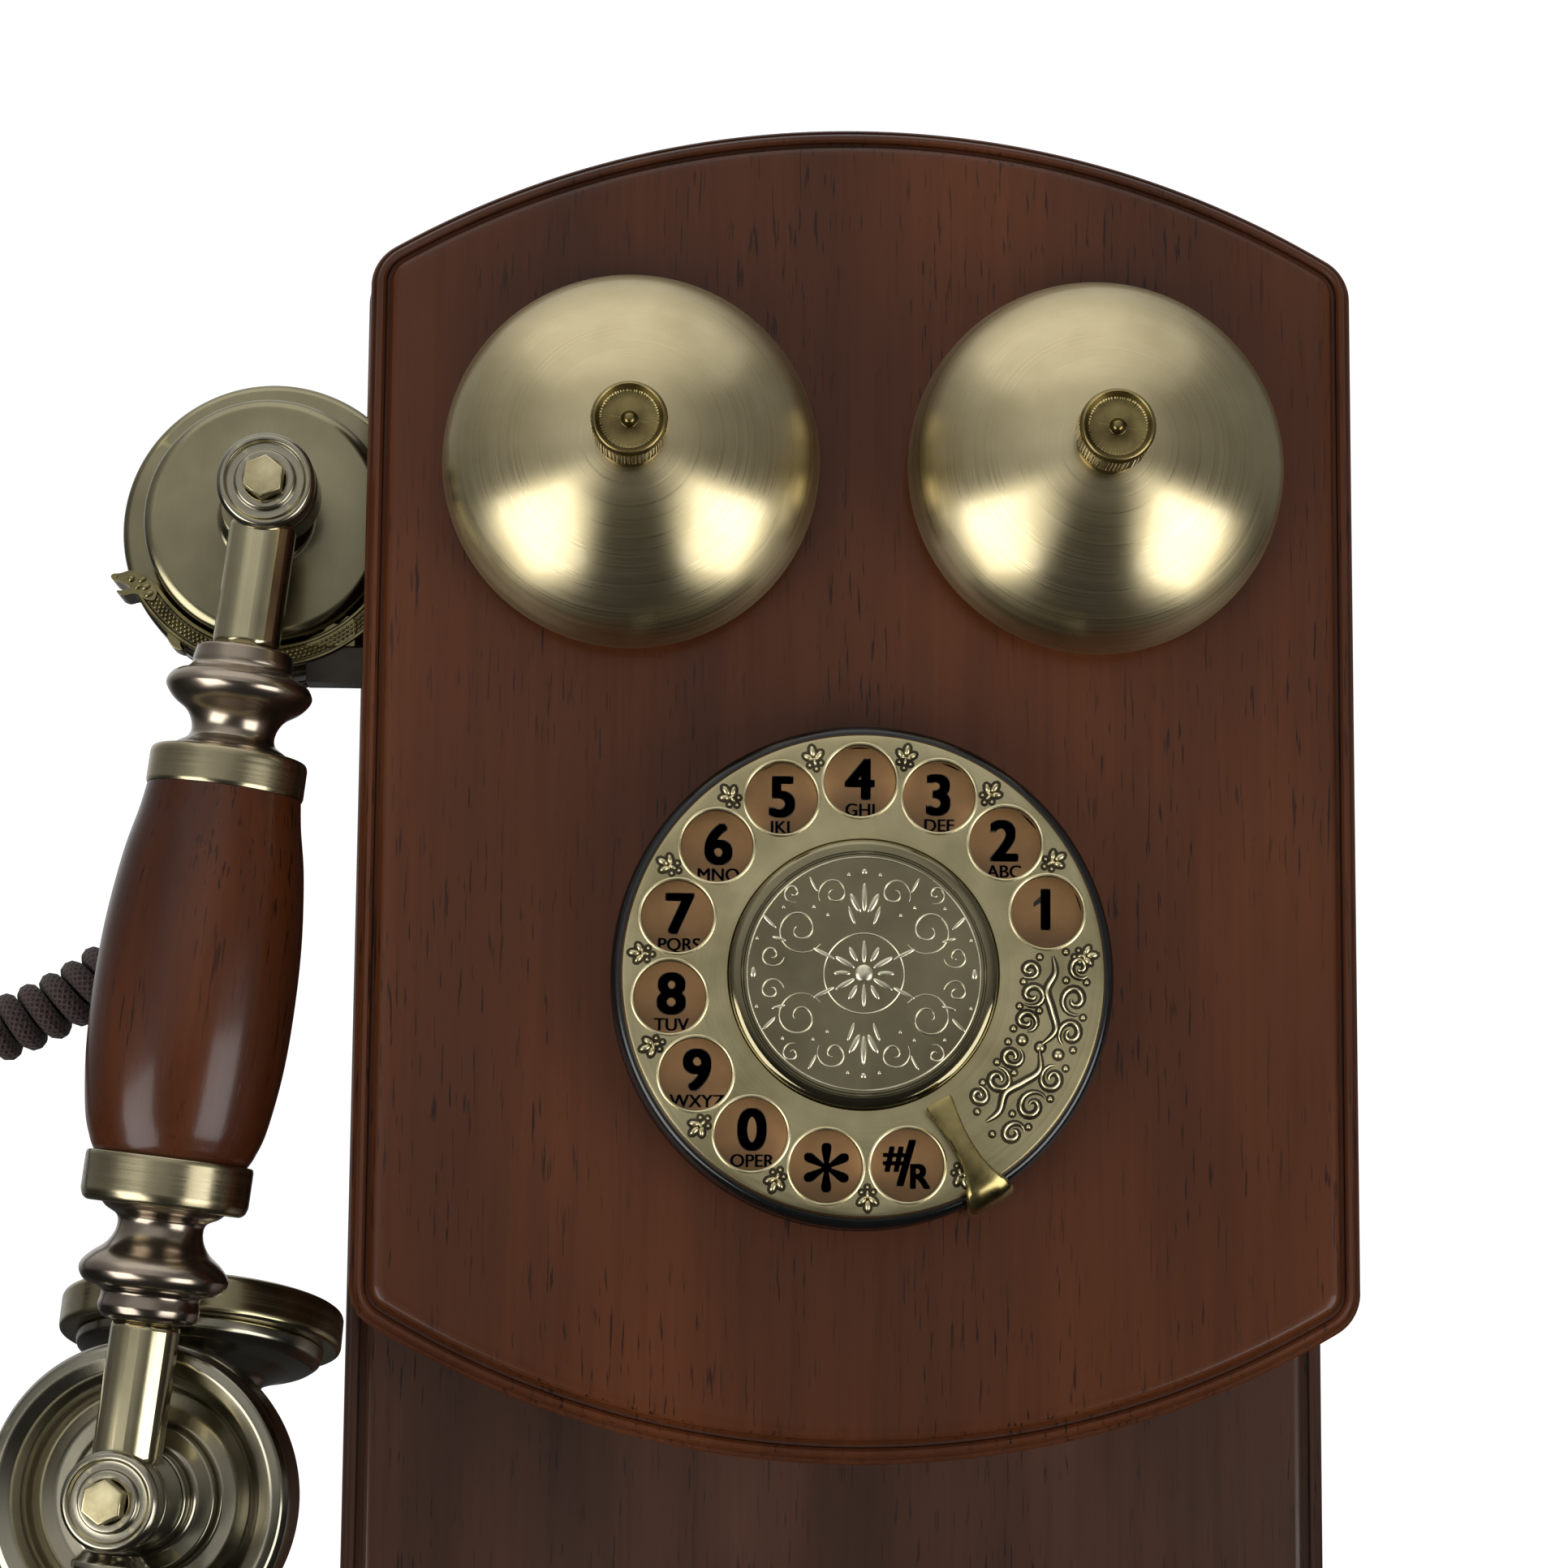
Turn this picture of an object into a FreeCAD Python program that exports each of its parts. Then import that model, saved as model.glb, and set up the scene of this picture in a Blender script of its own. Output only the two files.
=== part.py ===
"""Wall telephone with a rotary dial, two bells, and a handset hanging at its left side.

Frame: millimetres, +Z up, the front faces -Y. The origin lies on the wall plane (the back of
the back board), straight behind the axis of the dial. Handset pieces are drawn about the
handset's own leaning axis and then placed in this frame.
"""
import FreeCAD
import Part
import Sketcher
import math
import os
import re

from FreeCAD import Placement, Rotation, Vector

DOC = FreeCAD.newDocument("WallTelephone")
SHEET = DOC.addObject("Spreadsheet::Sheet", "Sizes")
NODES = []
WORD = re.compile(r"[a-z][a-z0-9]*(?:_[a-z0-9]+)+")

# Driving dimensions. Names ending in _y are depths measured from the wall, negative forwards.
SIZES = {
    "no_inset": 0.0, "shoulder_round": 8.0,
    # back board
    "board_half": 92.0, "board_arch": 166.0, "board_top": 170.0, "board_bottom": -150.0,
    "board_front_y": -12.0, "board_ply": 6.0, "board_inset": 4.0, "hanger_z": 120.0,
    "hanger_x": 60.0, "hanger_deep": 1.6, "hanger_width": 22.0, "hanger_height": 34.0,
    "hanger_eye": 4.5, "hanger_slot": 2.2, "hanger_rise": 11.0, "hanger_room": 5.0,
    # case box
    "case_half": 70.0, "case_wall": 8.0, "case_top": 126.0, "case_bottom": -58.0,
    "case_front_y": -80.0, "hook_slot_low": 48.0, "hook_slot_high": 68.0,
    "hook_slot_front_y": -65.0, "hook_slot_deep": 14.0,
    # front panel
    "panel_half": 85.0, "panel_arch": 159.0, "panel_top": 149.0, "panel_bottom": -80.5,
    "panel_step_y": -88.0, "panel_face_y": -92.0, "panel_inset": 3.4, "dial_hole": 36.0,
    "slot_x": 14.2, "slot_width": 7.5, "slot_height": 7.0,
    # bells and ringer
    "bell_x": 39.5, "bell_z": 87.4, "post_hole": 2.5, "hammer_z": 58.0, "arm_half": 2.6,
    "arm_front_y": -77.0, "arm_thick": 1.5, "bar_half": 16.0, "bar_low": 84.4,
    "bar_high": 90.4, "pin_radius": 1.2, "pin_front_y": -104.0, "head_radius": 2.5,
    "head_front_y": -103.5, "head_long": 5.0, "ringer_shaft": 1.5, "running_gap": 0.05,
    "armature_half": 20.0, "armature_front_y": -46.0, "armature_deep": 8.0,
    "armature_low": 55.4, "armature_high": 60.6, "coil_x": 13.0, "coil_y": -42.0,
    "coil_radius": 7.5, "coil_low": 30.0, "coil_high": 52.0, "core_radius": 3.0,
    "core_high": 54.0, "yoke_low": 26.5, "yoke_high": 28.0, "frame_back_y": -31.5,
    "frame_half": 22.0, "frame_high": 66.0, "frame_plate": 1.5, "leg_side": 6.0,
    "bracket_back_y": -72.0, "bracket_half": 6.0, "bracket_low": 49.0, "bracket_high": 64.0,
    # dial
    "hole_ring": 32.1, "hole_radius": 5.9, "hole_first": 70.7, "hole_step": 24.0,
    "stop_angle": 150.0, "stop_inner": 24.2, "stop_outer": 43.4, "stop_leg": 1.4,
    "stop_front_y": -109.6, "stop_thick": 1.3, "stop_wide": 5.6, "stop_narrow": 3.4,
    "shaft_radius": 3.0, "bridge_radius": 37.0, "bridge_back_y": -52.0, "bridge_plate": 1.5,
    "plate_radius": 39.0, "plate_front_y": -79.0, "pillar_ring": 33.0, "pillar_radius": 2.5,
    "governor_ring": 27.9, "governor_angle": 225.0, "governor_shaft": 1.2,
    "contact_x": 13.4, "contact_long": 15.4, "contact_half": 4.0, "contact_front_y": -68.5,
    # hook switch
    "pivot_x": -56.0, "pivot_z": 57.5, "pivot_radius": 2.0, "lever_low": 54.4,
    "lever_high": 60.6, "lever_front_y": -62.0, "lever_deep": 7.0, "lever_inner": -40.0,
    "lever_outer": -97.0, "cheek_front_y": -65.5, "cheek_deep": 15.0, "cheek_plate": 1.5,
    "cheek_low": 34.0, "cheek_high": 68.0, "cheek_inner": -50.0, "shelf_inner": -37.0,
    "switch_x": -49.5, "switch_long": 12.0, "switch_half": 4.5, "switch_high": 49.0,
    "plunger_x": -43.5, "plunger_radius": 1.5, "plunger_low": 41.0, "plunger_high": 54.1,
    "plunger_bore": 40.0,
    # electric parts
    "circuit_half": 45.0, "circuit_low": -50.0, "circuit_high": -4.0, "circuit_y": -20.0,
    "circuit_thick": 1.6, "standoff_radius": 2.5, "jack_x": 28.0, "jack_half": 8.0,
    "jack_tall": 14.0, "jack_front_y": -46.0, "jack_deep": 16.0, "jack_room": 12.0,
    # handset
    "hand_x": -112.0, "hand_z": -0.85, "hand_y": -84.0, "hand_lean": 6.69,
    "hand_twist": -9.0, "bolt_up": 86.0, "bolt_down": -87.0, "bar_across": 11.4,
    "bar_up_low": 57.6, "bar_up_high": 79.0, "bar_down_low": -79.6, "bar_down_high": -57.4,
    "rod_radius": 2.5, "rod_up": 40.0, "rod_down": -40.0, "mouth_up": -61.0,
    "mouth_back": 41.5, "mouth_lean": 14.0, "mouth_across": 4.4, "mouth_side": -3.5,
    "cup_up": 84.4, "cup_across": -2.3, "horn_stem": 15.5, "hex_across": 6.6, "hex_tall": 2.4,
    # cradle
    "cradle_x": -104.4, "cradle_z": 83.3, "cradle_inner": 22.6, "cradle_outer": 26.6,
    "cradle_front_y": -62.6, "cradle_deep": 8.2, "cradle_left": 211.0,
    "cradle_right": 325.0, "head_long_x": 9.0, "head_tall": 5.4, "head_out": 0.9,
    "foot_long": 9.0, "foot_high": 64.0,
    # cord
    "cord_radius": 6.0, "gland_radius": 8.0, "gland_x": -70.0, "gland_y": -26.0,
    "gland_z": 104.0, "gland_long": 14.0, "gland_root": 12.0, "gland_turn": 40.5,
    "ease": 0.45, "cord_gap": 0.1,
}

# Turned pieces: (radius, station) corners of the half section, stations along the piece's axis.
TURNED = {
    "dial_base_ring": [(9, -99.4), (38.6, -99.4), (38.6, -103), (40.2, -104), (41.7, -102.6),
                       (41.7, -92), (12, -92), (12, -79), (9, -79)],
    "number_plate": [(24, -100.4), (38.2, -100.4), (38.2, -99.4), (24, -99.4)],
    "bell": [(2.4, -117.5), (7, -117.3), (13, -115.6), (20, -112.6), (25.6, -109.4),
             (29.4, -105.6), (31.3, -101.4), (32, -97), (32, -96), (30.8, -96), (30.8, -97),
             (30.1, -101.2), (28.3, -105), (24.8, -108.4), (19.4, -111.5), (12.6, -114.4),
             (6.8, -116.3), (2.4, -116.3)],
    "bell_nut": [(2.4, -117.5), (5.6, -117.5), (4.6, -121.6), (6.2, -122.4), (6.3, -129.4),
                 (5, -130.2), (2, -130), (2, -129), (0, -128.6), (0, -126.2), (2.4, -126.2)],
    "bell_post": [(0, -78), (4.2, -78), (4.2, -80), (2.4, -80), (2.4, -92), (5, -92),
                  (5, -116.3), (2.3, -116.3), (2.3, -126), (0, -126)],
    "wheel": [(3, -103.2), (38.6, -103.2), (40, -104), (40, -105.2), (39, -106), (22.6, -106),
              (22.6, -105), (3, -105)],
    "centre_disc": [(0, -105), (22.3, -105), (22.3, -106.6), (21.4, -107.2), (0, -107.2)],
    "dial_shaft": [(0, -105), (2.95, -105), (2.95, -50), (0, -50)],
    "main_gear": [(3, -72), (24, -72), (24, -69.5), (3, -69.5)],
    "pulse_cam": [(3, -66), (12, -66), (12, -64), (3, -64)],
    "spring_barrel": [(3.4, -62), (13, -62), (13, -53.5), (11.8, -53.5), (11.8, -60.6),
                      (3.4, -60.6)],
    "governor_rotor": [(0, -77), (1.15, -77), (1.15, -72.4), (3.6, -72.4), (3.6, -69.1),
                       (1.15, -69.1), (1.15, -66), (8, -66), (8, -61), (1.15, -61),
                       (1.15, -54), (0, -54)],
    "governor_housing": [(8.8, -67), (10.3, -67), (10.3, -53.5), (8.8, -53.5)],
    "grip": [(3, -30), (13.3, -30), (15.2, -24), (16.6, -14), (17, -4), (16.7, 8),
             (15.4, 20), (13.6, 29), (13.2, 32.6), (3, 32.6)],
    "ferrule_up": [(3, 32.6), (13.1, 32.6), (13.3, 34), (13.3, 38), (12.6, 39.4), (3, 39.4)],
    "ferrule_down": [(3, -30), (13.7, -30), (14, -31.4), (14, -36.8), (13.2, -38.4),
                     (3, -38.4)],
    "neck_up": [(3, 39.4), (9.6, 39.4), (7.2, 41.4), (7.2, 44.2), (11.2, 48), (12.6, 50.4),
                (11.4, 53), (8.2, 54), (8.2, 57.6), (0, 57.6), (0, 42), (3, 42)],
    "neck_down": [(3, -38.4), (10, -38.4), (7.2, -40), (7.2, -43), (11.4, -47.2),
                  (12.5, -49.6), (11.2, -52), (7.4, -53), (8.4, -55.2), (7.4, -57.4),
                  (0, -57.4), (0, -42), (3, -42)],
    "boss": [(0, -8.4), (4.6, -8.4), (4.6, -7.4), (7.4, -7), (8.4, -5.6), (8.4, 7.4),
             (7.2, 8.4), (0, 8.4)],
    "cup_shell": [(0, 8.4), (7, 8.4), (7, 17), (9.5, 18.6), (20.6, 19.2), (22, 20.6),
                  (22, 29.6), (26.2, 29.9), (27, 30.8), (27, 37), (24.6, 37), (24.6, 31.8),
                  (19.8, 31.4), (19.8, 23), (0, 22)],
    "cup_cap": [(8, 37.3), (27, 37.3), (27, 39.4), (25.2, 42), (16, 43), (8, 41.4)],
    "receiver_capsule": [(0, 26), (19.2, 26), (19.2, 36.6), (0, 36.6)],
    "drum": [(0, 8.4), (9, 8.4), (9, 13), (16, 15), (19.2, 13), (19.8, 9), (24.4, 6.6),
             (26.6, 9), (26.6, 16), (24, 19), (10, 20.5), (0, 20.5)],
    "horn": [(0, -24), (8.4, -24), (8.9, -13.6), (12.4, -6.2), (20, -3.4), (22, 0),
             (20.4, 0), (13.6, -3.6), (7.6, -11), (6.6, -20), (0, -20)],
    "flange": [(17, 0), (22, 0), (25, 0.8), (25, 6), (23.6, 7.2), (21.5, 7.4), (21.5, 2),
               (17, 2)],
    "mouthpiece": [(0, 2.4), (20.9, 2.4), (20.9, 5.2), (12, 4.2), (0, 3.8)],
    "strain_relief": [(0, -95.7), (5.4, -95.7), (6.6, -97.5), (6.4, -110), (0, -110)],
}

# The fat tube that stands for the curled cord: points of its centre line, gland to handset.
CORD_ROUTE = [(-97.26, -26, 72.07), (-116, -28, 48), (-119.5, -30, 20), (-139.5, -32, -1),
              (-176, -34, -14), (-203, -42, -50), (-208, -50, -95), (-206, -58, -141.8),
              (-183, -68, -163.9), (-153, -78, -163.9), (-128.5, -84, -141.6)]

for row, (alias, value) in enumerate(SIZES.items(), start=1):
    SHEET.set("A%d" % row, alias)
    SHEET.set("B%d" % row, "%.4f" % value)
    SHEET.setAlias("B%d" % row, alias)
ROW = len(SIZES)
for piece, corners in TURNED.items():
    for index, (radius, station) in enumerate(corners):
        for suffix, value in (("wide", radius), ("along", station)):
            ROW += 1
            cell_alias = "%s_%s_%d" % (piece, suffix, index)
            SHEET.set("A%d" % ROW, cell_alias)
            SHEET.set("B%d" % ROW, "%.4f" % value)
            SHEET.setAlias("B%d" % ROW, cell_alias)
DOC.recompute()


def size(alias):
    """Value of a sheet cell, for the few shapes that are built by code."""
    return float(SHEET.get(alias))


def linked(text):
    """Turn the aliases in a formula into references to the sheet."""
    return WORD.sub(lambda found: "Sizes." + found.group(0), text)


def bind(thing, **formulas):
    """Bind properties of an object to formulas over the sheet."""
    for name, formula in formulas.items():
        thing.setExpression(name.replace("__", "."), linked(formula))


def node(thing, label):
    """Make an object a sub-part, written out under its label."""
    thing.Label = label
    NODES.append(thing)
    return thing


def hand_place(twisted=False):
    """Placement whose local Y axis runs up the handset and local Z points back."""
    base = Vector(size("hand_x"), size("hand_y"), size("hand_z"))
    lean = Rotation(Vector(0, 1, 0), size("hand_lean"))
    turn = Rotation(Vector(0, 0, 1), size("hand_twist") if twisted else 0)
    return Placement(base, lean.multiply(turn))


def plane(body, role):
    """One of a body's own origin planes."""
    return [item for item in body.Origin.OriginFeatures if item.Role == role][0]


def sketch(body, role, name):
    """A sketch on one of the body's origin planes."""
    drawing = body.newObject("Sketcher::SketchObject", name)
    drawing.AttachmentSupport = [(plane(body, role), "")]
    drawing.MapMode = "FlatFace"
    return drawing


def polygon(drawing, corners):
    """Closed outline whose corners are (value, formula) pairs held by dimensions."""
    count = len(corners)
    spots = [Vector(across[0], along[0], 0) for across, along in corners]
    for index in range(count):
        drawing.addGeometry(Part.LineSegment(spots[index], spots[(index + 1) % count]), False)
    for index in range(count):
        drawing.addConstraint(Sketcher.Constraint("Coincident", index, 2, (index + 1) % count, 1))
    for index, corner in enumerate(corners):
        for kind, (value, formula) in zip(("DistanceX", "DistanceY"), corner):
            number = drawing.addConstraint(Sketcher.Constraint(kind, -1, 1, index, 1, value))
            drawing.setExpression("Constraints[%d]" % number, linked(formula))


def turned(label, table, placement=Placement(), keep=True):
    """Revolve the half section held in a table about its axis (local Y)."""
    body = DOC.addObject("PartDesign::Body", label.title().replace("_", ""))
    drawing = sketch(body, "XY_Plane", "Section" + label.title().replace("_", ""))
    corners = []
    for index, (radius, station) in enumerate(TURNED[table]):
        corners.append(((radius, "%s_wide_%d" % (table, index)),
                        (station, "%s_along_%d" % (table, index))))
    polygon(drawing, corners)
    spin = body.newObject("PartDesign::Revolution", "Turn" + label.title().replace("_", ""))
    spin.Profile = drawing
    spin.ReferenceAxis = (drawing, ["V_Axis"])
    spin.Angle = 360
    drawing.Visibility = False
    body.Tip = spin
    body.Placement = placement
    return node(body, label) if keep else body


def arched(name, prefix, inset, depth, offset):
    """Plate with two straight sides and an arc at each end, drawn on the front plane."""
    body = DOC.addObject("PartDesign::Body", name)
    drawing = sketch(body, "XZ_Plane", "Outline" + name)
    bind(drawing, AttachmentOffset__Base__z=offset)
    half = size(prefix + "_half") - size(inset)
    arch = size(prefix + "_arch") - size(inset)
    rise = math.sqrt(arch ** 2 - half ** 2)
    upper = size(prefix + "_top") - size(inset) - arch
    lower = size(prefix + "_bottom") + size(inset) + arch
    reach = math.atan2(rise, half)
    corners = [Vector(half, lower - rise, 0), Vector(half, upper + rise, 0),
               Vector(-half, upper + rise, 0), Vector(-half, lower - rise, 0)]
    front = Vector(0, 0, 1)
    drawing.addGeometry(Part.LineSegment(corners[0], corners[1]), False)
    drawing.addGeometry(Part.ArcOfCircle(Part.Circle(Vector(0, upper, 0), front, arch),
                                         reach, math.pi - reach), False)
    drawing.addGeometry(Part.LineSegment(corners[2], corners[3]), False)
    drawing.addGeometry(Part.ArcOfCircle(Part.Circle(Vector(0, lower, 0), front, arch),
                                         math.pi + reach, 2 * math.pi - reach), False)
    for index in range(4):
        drawing.addConstraint(Sketcher.Constraint("Coincident", index, 2, (index + 1) % 4, 1))
    rules = [(Sketcher.Constraint("DistanceX", -1, 1, 0, 1, half), "{p}_half - {i}"),
             (Sketcher.Constraint("DistanceX", -1, 1, 2, 1, -half), "{i} - {p}_half"),
             (Sketcher.Constraint("Radius", 1, arch), "{p}_arch - {i}"),
             (Sketcher.Constraint("Radius", 3, arch), "{p}_arch - {i}"),
             (Sketcher.Constraint("DistanceY", -1, 1, 1, 3, upper), "{p}_top - {p}_arch"),
             (Sketcher.Constraint("DistanceY", -1, 1, 3, 3, lower), "{p}_bottom + {p}_arch")]
    for rule, formula in rules:
        number = drawing.addConstraint(rule)
        drawing.setExpression("Constraints[%d]" % number,
                              linked(formula.format(p=prefix, i=inset)))
    for arc in (1, 3):
        drawing.addConstraint(Sketcher.Constraint("PointOnObject", arc, 3, -2))
    for line in (0, 2):
        drawing.addConstraint(Sketcher.Constraint("Vertical", line))
    pad = body.newObject("PartDesign::Pad", "Pad" + name)
    pad.Profile = drawing
    bind(pad, Length=depth)
    DOC.recompute()
    sides = ["Edge%d" % (number + 1) for number, edge in enumerate(pad.Shape.Edges)
             if edge.BoundBox.YLength > edge.BoundBox.XLength + edge.BoundBox.ZLength]
    fillet = body.newObject("PartDesign::Fillet", "Shoulders" + name)
    fillet.Base = (pad, sides)
    bind(fillet, Radius="shoulder_round")
    body.Tip = fillet
    return body


def block(name, low, high):
    """Box between two corners given as formulas."""
    box = DOC.addObject("Part::Box", name)
    lengths = ["(%s) - (%s)" % pair for pair in zip(high, low)]
    bind(box, Placement__Base__x=low[0], Placement__Base__y=low[1], Placement__Base__z=low[2],
         Length=lengths[0], Width=lengths[1], Height=lengths[2])
    return box


def bar(name, radius, across, up, front, back):
    """Cylinder that runs from front to back (along Y)."""
    rod = DOC.addObject("Part::Cylinder", name)
    rod.Placement = Placement(Vector(0, 0, 0), Rotation(Vector(1, 0, 0), -90))
    bind(rod, Radius=radius, Height="(%s) - (%s)" % (back, front), Placement__Base__x=across,
         Placement__Base__y=front, Placement__Base__z=up)
    return rod


def post(name, radius, across, depth, low, high):
    """Upright cylinder (along Z)."""
    rod = DOC.addObject("Part::Cylinder", name)
    bind(rod, Radius=radius, Height="(%s) - (%s)" % (high, low), Placement__Base__x=across,
         Placement__Base__y=depth, Placement__Base__z=low)
    return rod


def fused(name, *pieces):
    """Join several objects into one."""
    joined = DOC.addObject("Part::MultiFuse", name)
    joined.Shapes = list(pieces)
    return joined


def grouped(name, *pieces):
    """Keep several separate solids in one object."""
    group = DOC.addObject("Part::Compound", name)
    group.Links = list(pieces)
    return group


def cut(name, base, *tools):
    """Take one or more tools away from a base."""
    result = DOC.addObject("Part::Cut", name)
    result.Base = base
    result.Tool = tools[0] if len(tools) == 1 else fused(name + "Tools", *tools)
    return result


def around(ring, angle):
    """Formulas of a point on a ring about the dial's axis, clockwise from the top."""
    return ("%s * sin(%s)" % (ring, angle), "%s * cos(%s)" % (ring, angle))


def back_board():
    """Moulded board against the wall, with two pockets for the hanger plates."""
    full = arched("BoardBack", "board", "no_inset", "board_ply", "no_inset")
    face = arched("BoardFace", "board", "board_inset", "-board_front_y - board_ply",
                  "board_ply")
    pockets = []
    for side in (-1, 1):
        centre = "%d * hanger_x" % side
        pockets.append(block("HangerPocket%d" % side,
                             (centre + " - hanger_width / 2", "-hanger_room",
                              "hanger_z - hanger_height / 2"),
                             (centre + " + hanger_width / 2", "no_inset",
                              "hanger_z + hanger_height / 2")))
    node(cut("BackBoard", fused("BoardBlank", full, face), *pockets), "back_board")


def hanger_plates():
    """Two keyhole plates let into the back of the board."""
    plates = []
    for side in (-1, 1):
        centre = "%d * hanger_x" % side
        plate = block("HangerPlate%d" % side,
                      (centre + " - hanger_width / 2", "-hanger_deep",
                       "hanger_z - hanger_height / 2"),
                      (centre + " + hanger_width / 2", "no_inset",
                       "hanger_z + hanger_height / 2"))
        eye = bar("HangerEye%d" % side, "hanger_eye", centre, "hanger_z - hanger_rise / 2",
                  "-hanger_room", "hanger_room")
        top = bar("HangerTop%d" % side, "hanger_slot", centre, "hanger_z + hanger_rise / 2",
                  "-hanger_room", "hanger_room")
        neck = block("HangerNeck%d" % side,
                     (centre + " - hanger_slot", "-hanger_room", "hanger_z - hanger_rise / 2"),
                     (centre + " + hanger_slot", "hanger_room", "hanger_z + hanger_rise / 2"))
        plates.append(cut("Hanger%d" % side, plate, eye, top, neck))
    node(grouped("HangerPlates", *plates), "hanger_plates")


def case_box():
    """Four boards between the back board and the front panel."""
    inner = "case_half - case_wall"
    left = block("LeftBoard", ("-case_half", "case_front_y", "case_bottom + case_wall"),
                 ("-(%s)" % inner, "board_front_y", "case_top - case_wall"))
    slot = block("HookSlot", ("-case_half - hanger_room", "hook_slot_front_y", "hook_slot_low"),
                 ("hanger_room - (%s)" % inner, "hook_slot_front_y + hook_slot_deep",
                  "hook_slot_high"))
    node(cut("CaseLeft", left, slot), "case_left_side")
    node(block("RightBoard", (inner, "case_front_y", "case_bottom + case_wall"),
               ("case_half", "board_front_y", "case_top - case_wall")), "case_right_side")
    node(block("TopBoard", ("-case_half", "case_front_y", "case_top - case_wall"),
               ("case_half", "board_front_y", "case_top")), "case_top")
    bottom = block("BottomBoard", ("-case_half", "case_front_y", "case_bottom"),
                   ("case_half", "board_front_y", "case_bottom + case_wall"))
    room = block("JackRoom", ("jack_x - jack_half", "jack_front_y",
                              "case_bottom - hanger_room"),
                 ("jack_x + jack_half", "jack_front_y + jack_deep",
                  "case_bottom + jack_tall"))
    node(cut("CaseBottom", bottom, room), "case_bottom")


def front_panel():
    """Arched panel with a stepped edge, a dial hole, post holes and two hammer slots."""
    full = arched("PanelBack", "panel", "no_inset", "case_front_y - panel_step_y",
                  "-case_front_y")
    face = arched("PanelFace", "panel", "panel_inset", "panel_step_y - panel_face_y",
                  "-panel_step_y")
    tools = [bar("DialOpening", "dial_hole", "no_inset", "no_inset",
                 "panel_face_y - hanger_room", "case_front_y + hanger_room")]
    for side in (-1, 1):
        tools.append(bar("PostHole%d" % side, "post_hole", "%d * bell_x" % side, "bell_z",
                         "panel_face_y - hanger_room", "case_front_y + hanger_room"))
        middle = "%d * slot_x" % side
        tools.append(block("HammerSlot%d" % side,
                           (middle + " - slot_width / 2", "panel_face_y - hanger_room",
                            "bell_z - slot_height / 2"),
                           (middle + " + slot_width / 2", "case_front_y + hanger_room",
                            "bell_z + slot_height / 2")))
    node(cut("FrontPanel", fused("PanelBlank", full, face), *tools), "front_panel")


def bells():
    """Two bells on posts, held by thumb nuts."""
    posts = []
    nuts = []
    for side, name in ((-1, "left_bell"), (1, "right_bell")):
        spot = Placement(Vector(side * size("bell_x"), 0, size("bell_z")), Rotation())
        turned(name, "bell", spot)
        posts.append(turned(name + "_post", "bell_post", spot, False))
        nuts.append(turned(name + "_nut", "bell_nut", spot, False))
    node(grouped("BellPosts", *posts), "bell_posts")
    node(grouped("BellNuts", *nuts), "bell_nuts")


def hammer():
    """Rocking arm with its two heads, its shaft and the armature that drives it."""
    arm = block("ArmUpright", ("-arm_half", "arm_front_y", "hammer_z - arm_half - running_gap"),
                ("arm_half", "arm_front_y + arm_thick", "bar_high"))
    beam = block("ArmBeam", ("-bar_half", "arm_front_y", "bar_low"),
                 ("bar_half", "arm_front_y + arm_thick", "bar_high"))
    pins = [bar("HammerPin%d" % side, "pin_radius", "%d * slot_x" % side, "bell_z",
                "pin_front_y", "arm_front_y") for side in (-1, 1)]
    eye = bar("ArmEye", "ringer_shaft", "no_inset", "hammer_z", "arm_front_y - hanger_room",
              "arm_front_y + hanger_room")
    node(cut("HammerArm", fused("ArmBlank", arm, beam, *pins), eye), "hammer_arm")
    heads = []
    for side in (-1, 1):
        ball = bar("HammerHead%d" % side, "head_radius", "%d * slot_x" % side, "bell_z",
                   "head_front_y", "head_front_y + head_long")
        bore = bar("HeadBore%d" % side, "pin_radius", "%d * slot_x" % side, "bell_z",
                   "head_front_y - hanger_room", "head_front_y + 2 * head_long")
        heads.append(cut("Head%d" % side, ball, bore))
    node(grouped("HammerHeads", *heads), "hammer_heads")
    node(bar("RingerShaft", "ringer_shaft", "no_inset", "hammer_z", "arm_front_y",
             "frame_back_y + running_gap"), "ringer_shaft")
    armature = block("ArmatureBar", ("-armature_half", "armature_front_y", "armature_low"),
                     ("armature_half", "armature_front_y + armature_deep", "armature_high"))
    bore = bar("ArmatureBore", "ringer_shaft", "no_inset", "hammer_z",
               "armature_front_y - hanger_room", "armature_front_y + 2 * armature_deep")
    node(cut("Armature", armature, bore), "ringer_armature")


def ringer_coils():
    """Two wound coils on their cores."""
    coils = []
    cores = []
    for side in (-1, 1):
        across = "%d * coil_x" % side
        coil = post("CoilBody%d" % side, "coil_radius", across, "coil_y", "coil_low",
                    "coil_high")
        hole = post("CoilBore%d" % side, "core_radius", across, "coil_y",
                    "coil_low - hanger_room", "coil_high + hanger_room")
        coils.append(cut("Coil%d" % side, coil, hole))
        cores.append(post("Core%d" % side, "core_radius", across, "coil_y", "yoke_high",
                          "core_high"))
    node(grouped("RingerCoils", *coils), "ringer_coils")
    node(grouped("RingerCores", *cores), "ringer_cores")


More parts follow.
